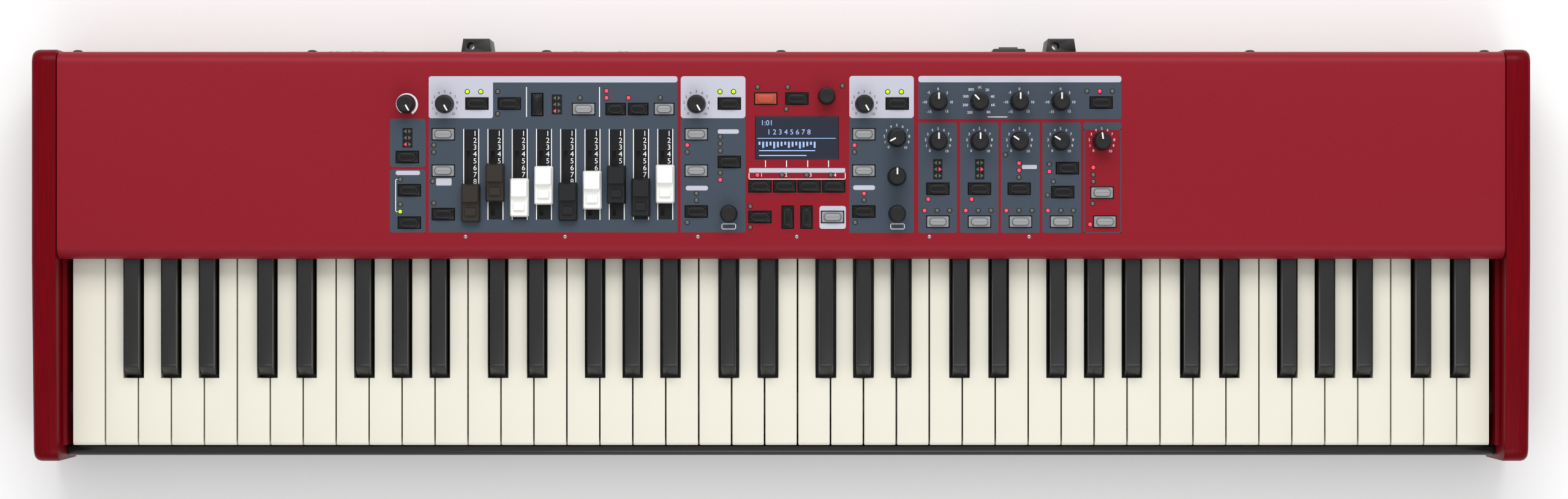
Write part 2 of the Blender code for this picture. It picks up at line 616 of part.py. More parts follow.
def make_control_board():
    """The circuit board behind the panel, with its switches, sliders, pots, display and posts."""
    bm = bmesh.new()
    add_block(bm, BOARD_X, (PANEL_REAR - BOARD_SETBACK[1], PANEL_REAR - BOARD_SETBACK[0]),
              (BOARD_TOP - BOARD_THICKNESS, BOARD_TOP))
    board = make_part("control_board", bm, BLACK_PLASTIC)
    sunk = BOARD_TOP - BOARD_THICKNESS / 2

    fitted = bmesh.new()
    tops = []
    for place in BUTTON_PLACES:
        tops.append(add_button(fitted, place, base=sunk))
    for place in PAGE_ROCKER_PLACES:
        tops.append(add_button(fitted, place, upright=True, base=sunk))
    for place in (STORE_BUTTON_PLACE, VIBRATO_ROCKER_PLACE):
        x, y = on_panel(place)
        add_block(fitted, centred(x, SWITCH_BODY), centred(y, SWITCH_BODY),
                  (sunk, MOVING_BUTTON_BOTTOM - SWITCH_GAP))
    for place in (*KNOB_PLACES.values(), *ENCODER_PLACES.values()):
        x, y = on_panel(place)
        add_block(fitted, centred(x, POT_BODY), centred(y, POT_BODY), (sunk, SHAFT_BOTTOM - CLEARANCE))
    for x in drawbar_middles():
        add_block(fitted, centred(x + DRAWBAR_STEM_OFFSET, SLIDER_WIDTH),
                  (SLIT_Y[0] - SLIDER_END, SLIT_Y[1] + SLIDER_END), (sunk, SLIDER_TOP))
    x, y = on_panel(DISPLAY_PLACE)
    add_block(fitted, centred(x, DISPLAY_SIZE[0]), centred(y, DISPLAY_SIZE[1]),
              (sunk, PANEL_TOP - DISPLAY_THICKNESS - CLEARANCE))
    posts = [(x, FRONT_POST_SETBACK / MM) for x in FRONT_POSTS]
    posts += [(x, REAR_POST_SETBACK / MM) for x in REAR_POSTS]
    post_top = PANEL_UNDERSIDE - CLEARANCE
    for place in posts:
        x, y = on_panel(place)
        add_rod(fitted, (x, y, (sunk + post_top) / 2), BOARD_POST_RADIUS, post_top - sunk, sides=8)
    combine(board, make_cutter("board_components", fitted), "UNION")

    pills = bmesh.new()
    for outline, span in tops:
        add_plate(pills, outline, span, "XY")
    combine(board, make_cutter("button_tops", pills), "UNION")


def make_moving_buttons():
    """The store button slides down, and the vibrato rocker tips about its own middle."""
    for name, place, upright, material in (("store_button", STORE_BUTTON_PLACE, False, ORANGE_PLASTIC),
                                           ("vibrato_rocker", VIBRATO_ROCKER_PLACE, True, BLACK_PLASTIC)):
        x, y = on_panel(place)
        bm = bmesh.new()
        outline, span = add_button(bm, place, upright, base=MOVING_BUTTON_BOTTOM)
        button = make_part(name, bm, material, (x, y, PANEL_TOP))
        pill = bmesh.new()
        add_plate(pill, outline, span, "XY")
        combine(button, make_cutter(name + "_top", pill), "UNION")


def make_turned(name, profile, place, material, sides):
    """A turned piece from (radius, height) points, outer side from top to bottom."""
    mesh = bpy.data.meshes.new(name)
    mesh.from_pydata([(radius, 0.0, height) for radius, height in profile],
                     [(step, step + 1) for step in range(len(profile) - 1)], [])
    obj = bpy.data.objects.new(name, mesh)
    obj.location = place
    keyboard.objects.link(obj)
    turn = obj.modifiers.new("turned", "SCREW")
    turn.steps = sides
    turn.render_steps = sides
    turn.use_merge_vertices = True
    turn.merge_threshold = 0.00001
    turn.use_smooth_shade = True
    obj.data.materials.append(material)


def make_knobs():
    """Tapered knobs and push encoders, each moulded with its shaft."""
    kinds = [(KNOB_PLACES, KNOB_BASE_RADIUS, KNOB_TOP_RADIUS, KNOB_HEIGHT),
             (ENCODER_PLACES, ENCODER_BASE_RADIUS, ENCODER_TOP_RADIUS, ENCODER_HEIGHT)]
    for places, base, top, height in kinds:
        shaft_end = SHAFT_BOTTOM - PANEL_TOP
        profile = [(0.0, height), (top, height), (top + KNOB_EDGE * 0.7, height - KNOB_EDGE),
                   (base, KNOB_LIFT), (SHAFT_RADIUS, KNOB_LIFT), (SHAFT_RADIUS, shaft_end), (0.0, shaft_end)]
        for name, place in places.items():
            x, y = on_panel(place)
            make_turned(name, profile, (x, y, PANEL_TOP), BLACK_PLASTIC, KNOB_SIDES)


def make_drawbars():
    """Each cap has a thumb plateau, a scoop and a finger lip, on a stem that runs in its slit."""
    colours = [BROWN_PLASTIC, BROWN_PLASTIC, IVORY, IVORY, BLACK_PLASTIC, IVORY, BLACK_PLASTIC,
               BLACK_PLASTIC, IVORY]
    bottom = PANEL_TOP + DRAWBAR_LIFT
    top = bottom + DRAWBAR_HEIGHT
    side = [(0.0, 0.0), (0.0, 0.25), (0.085, 1.0), (0.50, 1.0), (0.545, 0.70), (0.64, 0.62), (0.66, 0.82),
            (0.85, 0.78), (0.975, 0.2), (1.0, 0.0)]
    for index, (x, setting, material) in enumerate(zip(drawbar_middles(), DRAWBAR_SETTINGS, colours)):
        rear = PANEL_REAR - DRAWBAR_HOME - setting * DRAWBAR_STEP
        outline = [(rear - along * DRAWBAR_LENGTH, bottom + up * DRAWBAR_HEIGHT) for along, up in side]
        bm = bmesh.new()
        for vert in add_plate(bm, outline, centred(x, DRAWBAR_WIDTH), "YZ"):
            rise = (vert.co.z - bottom) / (top - bottom)
            vert.co.x = x + (vert.co.x - x) * (1 - rise * DRAWBAR_TOP_NARROWING / DRAWBAR_WIDTH)
        drawbar = make_part(f"drawbar_{index + 1}", bm, material, (x, rear, bottom))
        stem = bmesh.new()
        stem_rear = rear - DRAWBAR_STEM_START
        add_block(stem, centred(x + DRAWBAR_STEM_OFFSET, DRAWBAR_STEM_WIDTH),
                  (stem_rear - DRAWBAR_STEM_LENGTH, stem_rear), (SLIDER_TOP + CLEARANCE, bottom + MM))
        combine(drawbar, make_cutter(f"drawbar_{index + 1}_stem", stem), "UNION")


def make_display():
    x, y = on_panel(DISPLAY_PLACE)
    bm = bmesh.new()
    add_block(bm, centred(x, DISPLAY_SIZE[0]), centred(y, DISPLAY_SIZE[1]),
              (PANEL_TOP - DISPLAY_THICKNESS, PANEL_TOP))
    make_part("display_window", bm, DISPLAY_GLASS)


def make_folded(name, path, half_width, thickness, material):
    """A sheet folded along X, from the (Y, Z) points of its middle line."""
    bm = bmesh.new()
    verts = [bm.verts.new((-half_width, y, z)) for y, z in path]
    edges = [bm.edges.new(pair) for pair in zip(verts, verts[1:])]
    swept = bmesh.ops.extrude_edge_only(bm, edges=edges)["geom"]
    for vert in [item for item in swept if isinstance(item, bmesh.types.BMVert)]:
        vert.co.x = half_width
    sheet = make_part(name, bm, material)
    shell = sheet.modifiers.new("sheet", "SOLIDIFY")
    shell.thickness = thickness
    shell.offset = 0.0
    shell.use_even_offset = True
    return sheet


def make_base():
    """The bottom plate on its feet, the keybed on the plate and the rail in front of the keys."""
    slip_front = FRONT_Y + SLIP_SETBACK
    floor = FOOT_HEIGHT + BOTTOM_SHEET / 2
    rear = SKIRT_INNER - CLEARANCE - BOTTOM_SHEET / 2
    make_folded("bottom_plate", [(slip_front, floor), (rear, floor), (rear, BOTTOM_TOP + BOTTOM_FLANGE)],
                PANEL_END_X, BOTTOM_SHEET, GREY_STEEL)

    half = KEYBED_SHEET / 2
    low = BOTTOM_TOP + CLEARANCE + half
    stop_top = STOP_RAIL_TOP + half
    pivot_top = WHITE_BOTTOM - CLEARANCE - half
    stop_front = KEY_FRONT + STOP_RAIL_SETBACK
    web = PIVOT_Y - PIVOT_RAIL_LEAD + half
    make_folded("keybed", [
        (KEY_FRONT + KEYBED_FRONT_SETBACK, low), (stop_front, low), (stop_front, stop_top),
        (stop_front + STOP_RAIL_WIDTH, stop_top), (stop_front + STOP_RAIL_WIDTH, low), (web, low),
        (web, pivot_top), (web + PIVOT_RAIL_DEPTH, pivot_top)],
        KEYS_HALF_WIDTH + KEYS_TO_LEDGE - CLEARANCE, KEYBED_SHEET, GREY_STEEL)

    bm = bmesh.new()
    bottom = BOTTOM_TOP + CLEARANCE
    outline = rounded([(slip_front, bottom, 0), (slip_front, SLIP_TOP, SLIP_RADIUS),
                       (slip_front + SLIP_THICKNESS, SLIP_TOP, SLIP_RADIUS / 3),
                       (slip_front + SLIP_THICKNESS, bottom, 0)], steps=4)
    add_plate(bm, outline, (-PANEL_END_X, PANEL_END_X), "YZ")
    make_part("key_slip", bm, BLACK_PLASTIC, smooth_angle=35)

    foot_x = CHEEK_INNER_X - FOOT_INSET_X
    rows = {"front": FRONT_Y + FOOT_INSET_Y, "rear": PANEL_REAR - FOOT_INSET_Y}
    for row, y in rows.items():
        for side_name, side in (("left", -1), ("right", 1)):
            bm = bmesh.new()
            height = FOOT_HEIGHT - CLEARANCE
            add_rod(bm, (side * foot_x, y, height / 2), FOOT_RADIUS, height, sides=20)
            rim = [edge for edge in bm.edges if all(vert.co.z < CLEARANCE for vert in edge.verts)]
            bevel_edges(bm, rim, MM, 1)
            make_part(f"{row}_{side_name}_foot", bm, RUBBER, (side * foot_x, y, 0.0), 35)


def make_brackets():
    """Black blocks on the rear skirt, each with an upright bore for a stand's wire leg."""
    face = PANEL_REAR + CLEARANCE
    rear = PANEL_REAR + BRACKET_REACH
    for name, place in BRACKET_PLACES.items():
        x = place * MM
        bm = bmesh.new()
        add_plate(bm, [(x - BRACKET_PANEL_WIDTH / 2, face), (x + BRACKET_PANEL_WIDTH / 2, face),
                       (x + BRACKET_REAR_WIDTH / 2, rear), (x - BRACKET_REAR_WIDTH / 2, rear)],
                  (BRACKET_BOTTOM, BRACKET_TOP), "XY")
        bracket = make_part(name, bm, BLACK_PLASTIC)
        bore = bmesh.new()
        centre = (x + BRACKET_BORE_OFFSET, rear - BRACKET_BORE_FROM_REAR, (BRACKET_BOTTOM + BRACKET_TOP) / 2)
        add_rod(bore, centre, BRACKET_BORE_RADIUS, BRACKET_TOP - BRACKET_BOTTOM + 2 * MM, sides=16)
        combine(bracket, make_cutter(name + "_bore", bore), "DIFFERENCE")


def make_connector_board():
    """The board behind the skirt with the pedal, audio, data and headphone sockets."""
    face = SKIRT_INNER - CLEARANCE
    bottom = CONNECTOR_BOARD_BOTTOM
    top = bottom + BOARD_THICKNESS
    bm = bmesh.new()
    add_block(bm, CONNECTOR_BOARD_X, (face - CONNECTOR_BOARD_DEPTH, face), (bottom, top))
    board = make_part("connector_board", bm, GREY_STEEL)

    bodies = bmesh.new()
    barrels = bmesh.new()
    nuts = bmesh.new()
    bores = bmesh.new()
    half = JACK_BODY[0] / 2
    for place in JACK_PLACES:
        x = place * MM
        add_block(bodies, (x - half, x + half), (face - JACK_BODY[1], face),
                  (bottom + MM / 2, CONNECTOR_HEIGHT + half))
        end = PANEL_REAR + JACK_BUSH_PROUD
        add_rod(barrels, (x, (face + end) / 2 - MM, CONNECTOR_HEIGHT), JACK_BUSH_RADIUS,
                end - face + 2 * MM, "Y", 16)
        nut_middle = PANEL_REAR + CLEARANCE + JACK_NUT_THICKNESS / 2
        add_rod(nuts, (x, nut_middle, CONNECTOR_HEIGHT), JACK_NUT_RADIUS, JACK_NUT_THICKNESS, "Y", 6)
        add_rod(bores, (x, end - JACK_BORE_DEPTH / 2 + MM / 2, CONNECTOR_HEIGHT), JACK_BORE_RADIUS,
                JACK_BORE_DEPTH + MM, "Y", 16)
    for place in MINI_JACK_PLACES:
        x = place * MM
        add_block(bodies, (x - half * 0.6, x + half * 0.6), (face - JACK_BODY[1] / 2, face),
                  (bottom + MM / 2, CONNECTOR_HEIGHT + half * 0.6))
        add_rod(barrels, (x, (face + PANEL_REAR) / 2 - MM, CONNECTOR_HEIGHT), MINI_JACK_RADIUS,
                PANEL_REAR - face + 2 * MM, "Y", 12)
        add_rod(bores, (x, PANEL_REAR - JACK_BODY[1] / 4, CONNECTOR_HEIGHT), MINI_JACK_BORE_RADIUS,
                JACK_BODY[1] / 2 + MM, "Y", 10)
    for place in DIN_PLACES:
        x = place * MM
        reach = DIN_SOCKET_DEPTH + 2 * MM
        add_block(bodies, centred(x, 2 * DIN_RADIUS), (face - reach, face),
                  (bottom + MM / 2, CONNECTOR_HEIGHT + DIN_RADIUS))
        add_rod(barrels, (x, (face + PANEL_REAR) / 2 - MM, CONNECTOR_HEIGHT), DIN_RADIUS,
                PANEL_REAR - face + 2 * MM, "Y", 16)
        add_rod(bores, (x, PANEL_REAR - DIN_SOCKET_DEPTH / 2 + MM / 2, CONNECTOR_HEIGHT),
                DIN_RADIUS - DIN_WALL, DIN_SOCKET_DEPTH + MM, "Y", 16)
    x = USB_PLACE * MM
    add_block(bodies, centred(x, USB_SHELL[0]), (face - USB_DEPTH - 2 * MM, face),
              (bottom + MM / 2, CONNECTOR_HEIGHT + USB_SHELL[1] / 2))
    add_block(barrels, centred(x, USB_SHELL[0]), (face - MM, PANEL_REAR),
              centred(CONNECTOR_HEIGHT, USB_SHELL[1]))
    add_block(bores, centred(x, USB_MOUTH[0]), (PANEL_REAR - USB_DEPTH, PANEL_REAR + MM),
              centred(CONNECTOR_HEIGHT, USB_MOUTH[1]))
    left, right = CONNECTOR_BOARD_X
    for x in (left + 4 * MM, right - 4 * MM):
        for y in (face - CONNECTOR_BOARD_DEPTH + 5 * MM, face - 5 * MM):
            foot = BOTTOM_TOP + CLEARANCE
            add_rod(bodies, (x, y, (foot + top) / 2 - MM / 2), BOARD_POST_RADIUS, top - foot - MM, sides=8)
    combine(board, make_cutter("socket_bodies", bodies), "UNION")
    combine(board, make_cutter("socket_barrels", barrels), "UNION")
    combine(board, make_cutter("jack_nuts", nuts), "UNION")
    combine(board, make_cutter("socket_bores", bores), "DIFFERENCE")

    cores = bmesh.new()
    for place in DIN_PLACES:
        add_rod(cores, (place * MM, PANEL_REAR - DIN_SOCKET_DEPTH / 2 - MM, CONNECTOR_HEIGHT),
                DIN_FACE_RADIUS, DIN_SOCKET_DEPTH, "Y", 12)
    add_block(cores, centred(USB_PLACE * MM, USB_TONGUE[0]), (PANEL_REAR - USB_DEPTH - MM, PANEL_REAR - MM),
              centred(CONNECTOR_HEIGHT, USB_TONGUE[1]))
    combine(board, make_cutter("socket_cores", cores), "UNION")


def make_power():
    """The mains inlet and its rocker switch, in one moulding that clips into the skirt."""
    face = PANEL_REAR + CLEARANCE
    bm = bmesh.new()
    add_block(bm, centred(INLET_X, INLET_FLANGE[0]), (face, face + INLET_FLANGE_THICKNESS),
              centred(INLET_MIDDLE, INLET_FLANGE[1]))
    rim = [edge for edge in bm.edges if all(vert.co.y > face + MM for vert in edge.verts)]
    bevel_edges(bm, rim, MM, 1)
    inlet = make_part("power_inlet", bm, BLACK_PLASTIC)
    body = bmesh.new()
    add_block(body, centred(INLET_X, INLET_BODY[0]), (PANEL_REAR - INLET_BODY_DEPTH, face + MM),
              centred(INLET_MIDDLE, INLET_BODY[1]))
    combine(inlet, make_cutter("inlet_body", body), "UNION")
    mouths = bmesh.new()
    outer = face + INLET_FLANGE_THICKNESS + MM
    inlet_low = INLET_BOTTOM + INLET_MOUTH_RISE
    add_block(mouths, centred(INLET_X, INLET_MOUTH[0]), (face - INLET_MOUTH_DEPTH, outer),
              (inlet_low, inlet_low + INLET_MOUTH[1]))
    switch_low = INLET_BOTTOM + SWITCH_MOUTH_RISE
    add_block(mouths, centred(INLET_X, SWITCH_MOUTH[0]), (face - SWITCH_DEPTH, outer),
              (switch_low, switch_low + SWITCH_MOUTH[1]))
    combine(inlet, make_cutter("inlet_mouths", mouths), "DIFFERENCE")

    middle = (INLET_X, face - MM, switch_low + SWITCH_MOUTH[1] / 2)
    bm = bmesh.new()
    add_rod(bm, middle, SWITCH_ROCKER_RADIUS, SWITCH_MOUTH[0] - 2 * CLEARANCE, "X", 20)
    bmesh.ops.rotate(bm, verts=bm.verts, cent=middle, matrix=Matrix.Rotation(SWITCH_ROCK, 3, "X"))
    make_part("power_switch", bm, BLACK_PLASTIC, middle)


# Places inside the control section that follow from the sizes
KEY_REAR = PIVOT_Y + KEY_TAIL
COMB_FRONT = KEY_REAR + 2 * CLEARANCE
COMB_SPLIT = WHITE_BOTTOM + WHITE_BODY / 2
INLET_MIDDLE = INLET_BOTTOM + INLET_FLANGE[1] / 2
SLIT_REAR = PANEL_REAR - DRAWBAR_HOME - DRAWBAR_STEM_START + CLEARANCE
SLIT_Y = (SLIT_REAR - DRAWBAR_STEPS * DRAWBAR_STEP - DRAWBAR_STEM_LENGTH - 2 * CLEARANCE, SLIT_REAR)
SLIDER_TOP = BOARD_TOP + SLIDER_HEIGHT
SHAFT_BOTTOM = BOARD_TOP + POT_HEIGHT
MOVING_BUTTON_BOTTOM = PANEL_UNDERSIDE - MOVING_BUTTON_DEPTH

clear_scene()
keyboard = new_collection("stage_keyboard")
cutters = new_collection("cutters")
IVORY = finish_of("ivory_plastic", (0.80, 0.78, 0.70), 0.35)
BLACK_PLASTIC = finish_of("black_plastic", (0.02, 0.02, 0.022), 0.35)
BROWN_PLASTIC = finish_of("brown_plastic", (0.10, 0.065, 0.05), 0.35)
ORANGE_PLASTIC = finish_of("orange_plastic", (0.75, 0.12, 0.04), 0.4)
RED_WOOD = finish_of("red_stained_wood", (0.22, 0.004, 0.01), 0.3)
RED_PAINT = finish_of("red_enamel", (0.30, 0.015, 0.03), 0.45)
GREY_STEEL = finish_of("grey_steel", (0.30, 0.31, 0.32), 0.4, 1.0)
RUBBER = finish_of("rubber", (0.02, 0.02, 0.02), 0.8)
DISPLAY_GLASS = finish_of("display_glass", (0.03, 0.04, 0.12), 0.1)

make_keys()
make_cheek("left_cheek", -1)
make_cheek("right_cheek", 1)
make_top_panel()
make_control_board()
make_moving_buttons()
make_knobs()
make_drawbars()
make_display()
make_base()
make_brackets()
make_connector_board()
make_power()
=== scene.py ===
"""The finish of a stage keyboard: lacquered cheeks, printed panel, moulded keys and controls."""

import json
import math

import bmesh
import bpy
from mathutils import Matrix, Vector


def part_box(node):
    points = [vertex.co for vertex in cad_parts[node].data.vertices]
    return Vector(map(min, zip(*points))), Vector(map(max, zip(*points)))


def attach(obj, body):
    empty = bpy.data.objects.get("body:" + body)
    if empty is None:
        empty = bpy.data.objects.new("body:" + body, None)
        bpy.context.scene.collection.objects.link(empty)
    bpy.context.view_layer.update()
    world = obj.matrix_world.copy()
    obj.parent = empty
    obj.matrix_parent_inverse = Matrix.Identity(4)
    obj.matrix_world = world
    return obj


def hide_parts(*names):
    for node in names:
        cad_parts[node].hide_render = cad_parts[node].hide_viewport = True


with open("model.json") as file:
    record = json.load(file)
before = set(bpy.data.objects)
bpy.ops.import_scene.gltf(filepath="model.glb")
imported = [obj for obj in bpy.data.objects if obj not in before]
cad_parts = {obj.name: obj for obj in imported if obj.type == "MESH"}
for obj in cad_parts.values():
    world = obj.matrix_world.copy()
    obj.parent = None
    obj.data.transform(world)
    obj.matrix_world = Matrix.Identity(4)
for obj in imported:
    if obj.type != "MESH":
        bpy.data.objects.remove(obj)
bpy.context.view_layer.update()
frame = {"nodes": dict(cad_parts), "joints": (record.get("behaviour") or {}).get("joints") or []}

# The photograph was taken from about 2.5 m straight above the keys, with a long lens that was shifted a
# little towards the rear. Floor and light are plain: a pale sheet of card under large soft lamps.

MM = 0.001
IMAGE_WIDTH = 2560
FOCAL_PIXELS = 5725
CAMERA_PLACE = (0.35 * MM, -16.35 * MM, 2561 * MM)
SHIFT_PIXELS = (4.0, 37.5)
SENSOR_WIDTH = 36.0
FARTHEST_SEEN = 20.0

lens = bpy.data.cameras.new("camera")
lens.sensor_width = SENSOR_WIDTH
lens.lens = SENSOR_WIDTH * FOCAL_PIXELS / IMAGE_WIDTH
lens.shift_x, lens.shift_y = (pixels / IMAGE_WIDTH for pixels in SHIFT_PIXELS)
lens.clip_end = FARTHEST_SEEN
camera = bpy.data.objects.new("camera", lens)
camera.location = CAMERA_PLACE
bpy.context.scene.collection.objects.link(camera)
bpy.context.scene.camera = camera
bpy.context.scene.view_settings.view_transform = "Standard"


def linear(hex_colour):
    """RGBA in linear light from an sRGB hex colour."""
    values = [int(hex_colour[start:start + 2], 16) / 255 for start in (1, 3, 5)]
    light = [value / 12.92 if value <= 0.04045 else ((value + 0.055) / 1.055) ** 2.4 for value in values]
    return (*light, 1.0)


def add_node(material, kind, attributes=None, **inputs):
    """A shader node with its settings, and its sockets given a value or linked to another node's socket."""
    node = material.node_tree.nodes.new("ShaderNode" + kind)
    for name, value in (attributes or {}).items():
        setattr(node, name, value)
    for name, value in inputs.items():
        socket = node.inputs[int(name[1:])] if name[1:].isdigit() else node.inputs[name.replace("_", " ")]
        if isinstance(value, bpy.types.NodeSocket):
            material.node_tree.links.new(value, socket)
        else:
            socket.default_value = value
    return node


GRAIN_DETAIL = 4.0


def moulded(name, hex_colour, roughness, grain_mm=0.4, bump_mm=0.01, mottle=0.06, **sockets):
    """A surface with a fine grain: its height and a slight change of shade both follow one noise."""
    material = bpy.data.materials.new(name)
    material.use_nodes = True
    shader = material.node_tree.nodes["Principled BSDF"]
    place = add_node(material, "TexCoord")
    grain = add_node(material, "TexNoise", Vector=place.outputs["Object"], Scale=1 / (grain_mm * MM),
                     Detail=GRAIN_DETAIL)
    colour = linear(hex_colour)
    dark = (*[value * (1 - mottle) for value in colour[:3]], 1.0)
    light = (*[min(1.0, value * (1 + mottle)) for value in colour[:3]], 1.0)
    shade = add_node(material, "Mix", {"data_type": "RGBA"}, _0=grain.outputs["Fac"], _6=dark, _7=light)
    bump = add_node(material, "Bump", Height=grain.outputs["Fac"], Distance=bump_mm * MM, Strength=1.0)
    material.node_tree.links.new(shade.outputs[2], shader.inputs["Base Color"])
    material.node_tree.links.new(bump.outputs["Normal"], shader.inputs["Normal"])
    shader.inputs["Roughness"].default_value = roughness
    for socket, value in sockets.items():
        shader.inputs[socket.replace("_", " ")].default_value = value
    return material


FLOOR_SIZE = 12.0
floor_mesh = bpy.data.meshes.new("floor")
plan = bmesh.new()
bmesh.ops.create_grid(plan, x_segments=1, y_segments=1, size=FLOOR_SIZE / 2)
plan.to_mesh(floor_mesh)
floor = bpy.data.objects.new("floor", floor_mesh)
bpy.context.scene.collection.objects.link(floor)
floor_mesh.materials.append(moulded("matte_card", "#F6F6F6", 0.9, grain_mm=3.0, bump_mm=0.0, mottle=0.01))

ROOM_LIGHT = 0.7
world = bpy.data.worlds.new("pale_room")
world.use_nodes = True
world.node_tree.nodes["Background"].inputs["Color"].default_value = linear("#FFFFFF")
world.node_tree.nodes["Background"].inputs["Strength"].default_value = ROOM_LIGHT
bpy.context.scene.world = world

SOFT_LAMPS = {
    "rear_soft_lamp": ((0.0, 1.9, 1.9), 2.4, 46.0),
    "front_soft_lamp": ((0.3, -1.6, 2.4), 2.0, 17.0),
}
for name, (place, size, watts) in SOFT_LAMPS.items():
    lamp = bpy.data.lights.new(name, "AREA")
    lamp.shape = "RECTANGLE"
    lamp.size, lamp.size_y = size, size / 2
    lamp.energy = watts
    holder = bpy.data.objects.new(name, lamp)
    holder.location = place
    holder.rotation_euler = (-Vector(place)).to_track_quat("-Z", "Y").to_euler()
    bpy.context.scene.collection.objects.link(holder)

# The two end cheeks are solid wood, stained deep red and lacquered, screwed to the steel case from inside.
# The grain runs along them under a thin, even lacquer.

SAME_POINT = 0.01 * MM
FLAT_ANGLE = math.radians(0.5)
SHARP_EDGE = math.radians(40)
CRISP_EDGE = math.radians(32)


def soften(node, width_mm, material, steps=2):
    """Gives a solid its material, and a small rounding on every sharp edge if a width is named."""
    obj = frame["nodes"][node]
    for polygon in obj.data.polygons:
        polygon.use_smooth = True
    join = obj.modifiers.new("join", "WELD")
    join.merge_threshold = SAME_POINT
    if width_mm:
        flat = obj.modifiers.new("flat_faces", "DECIMATE")
        flat.decimate_type = "DISSOLVE"
        flat.angle_limit = FLAT_ANGLE
        edge = obj.modifiers.new("rounded_edges", "BEVEL")
        edge.width = width_mm * MM
        edge.segments = steps
        edge.limit_method = "ANGLE"
        edge.angle_limit = SHARP_EDGE
        edge.use_clamp_overlap = True
    split = obj.modifiers.new("crisp_edges", "EDGE_SPLIT")
    split.split_angle = CRISP_EDGE
    obj.data.materials.clear()
    obj.data.materials.append(material)


GRAIN_WIDTH_MM = 1.6
GRAIN_STRETCH = 0.03
stained_wood = bpy.data.materials.new("stained_wood")
stained_wood.use_nodes = True
wood_shader = stained_wood.node_tree.nodes["Principled BSDF"]
wood_place = add_node(stained_wood, "TexCoord")
along_grain = add_node(stained_wood, "Mapping", Vector=wood_place.outputs["Object"],
                       Scale=(1.0, GRAIN_STRETCH, 1.0))
fibres = add_node(stained_wood, "TexNoise", Vector=along_grain.outputs["Vector"],
                  Scale=1 / (GRAIN_WIDTH_MM * MM), Detail=5.0, Roughness=0.6)
stain = add_node(stained_wood, "Mix", {"data_type": "RGBA"}, _0=fibres.outputs["Fac"],
                 _6=linear("#4C0006"), _7=linear("#7C0010"))
pores = add_node(stained_wood, "Bump", Height=fibres.outputs["Fac"], Distance=0.04 * MM, Strength=0.6)
stained_wood.node_tree.links.new(stain.outputs[2], wood_shader.inputs["Base Color"])
stained_wood.node_tree.links.new(pores.outputs["Normal"], wood_shader.inputs["Normal"])
wood_shader.inputs["Roughness"].default_value = 0.3
wood_shader.inputs["Specular IOR Level"].default_value = 0.07
for cheek in ("left_cheek", "right_cheek"):
    soften(cheek, 0.8, stained_wood)

# The case top is one folded steel sheet in red textured enamel, which has the fine orange peel of a powder
# coat, and it is satin, so that the panel catches no hard light.

soften("top_panel", 0, moulded("red_enamel", "#861322", 0.42, grain_mm=0.9, bump_mm=0.05, mottle=0.16,
                               Specular_IOR_Level=0.16))

# The key slip is a black lacquered rail in front of the keys. The keybed is bent from zinc-plated steel sheet
# and the bottom plate is painted black, with four rubber feet screwed under it.

soften("key_slip", 0.5, moulded("black_lacquer", "#141416", 0.28, grain_mm=1.2, bump_mm=0.005))
zinc_plate = moulded("zinc_plated_steel", "#8E9092", 0.38, grain_mm=2.5, bump_mm=0.01, mottle=0.1,
                     Metallic=0.9)
black_paint = moulded("black_case_paint", "#1B1B1D", 0.5, grain_mm=0.8, bump_mm=0.03)
soften("keybed", 0, zinc_plate)
soften("bottom_plate", 0, black_paint)
rubber = moulded("rubber", "#1A1A1A", 0.8, grain_mm=0.6, bump_mm=0.03)
for foot in ("front_left_foot", "front_right_foot", "rear_left_foot", "rear_right_foot"):
    soften(foot, 0.4, rubber)

# The keys are moulded in ABS: white ones in a warm, half-gloss ivory, black ones satin with a polished edge.
# Each key is sprung at the pivot rail, and its edges are broken so that fingers slide over them.

ivory_abs = moulded("ivory_abs", "#E0DDCF", 0.3, grain_mm=0.5, bump_mm=0.002, mottle=0.01)
black_abs = moulded("black_abs", "#131315", 0.34, grain_mm=0.35, bump_mm=0.006, mottle=0.12)
for node in frame["nodes"]:
    if node.startswith("white_key"):
        soften(node, 0.7, ivory_abs, steps=3)
    elif node.startswith("black_key"):
        soften(node, 0.9, black_abs, steps=3)

# The panel is screen-printed in slate, pale grey, black and white ink. Each field of ink is left open round
# every button and drawbar slit, and a thin black ring is printed there instead: painted shade that stands for
# the dark well round each cap and stem.

PANEL_PIXELS_PER_MM = 2.3103
PHOTO_MIDDLE = 1275.2
PHOTO_LEVEL = 445.0
PANEL_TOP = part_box("display_window")[1][2]
BUTTON_HOLE = (16.0, 8.3)
PANEL_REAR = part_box("top_panel")[1][1]
# Width of the black ring of painted shade round each hole.
INK = 0.03 * MM
PAINTED_SHADE_RIM = 0.35


def from_photo(across, down):
    """World X and Y on the panel of a place in the photograph, in its pixels."""
    x = (across - PHOTO_MIDDLE) / PANEL_PIXELS_PER_MM * MM
    y = CAMERA_PLACE[1] + (PHOTO_LEVEL - down) / PANEL_PIXELS_PER_MM * MM
    return x, y


def box_outline(left, top, right, bottom, radius=0.0, steps=5):
    """Corner points, in the photograph's pixels, of a field with rounded corners."""
    if not radius:
        return [(left, bottom), (right, bottom), (right, top), (left, top)]
    points = []
    corners = ((right - radius, bottom - radius, 90), (right - radius, top + radius, 0),
               (left + radius, top + radius, -90), (left + radius, bottom - radius, -180))
    for x, y, start in corners:
        for step in range(steps + 1):
            angle = math.radians(start - 90 * step / steps)
            points.append((x + radius * math.cos(angle), y + radius * math.sin(angle)))
    return points


def link(name, mesh, material, body):
    """A piece of the object that rides on a body."""
    piece = bpy.data.objects.new(name, mesh)
    bpy.context.scene.collection.objects.link(piece)
    mesh.materials.clear()
    mesh.materials.append(material)
    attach(piece, body)
    return piece


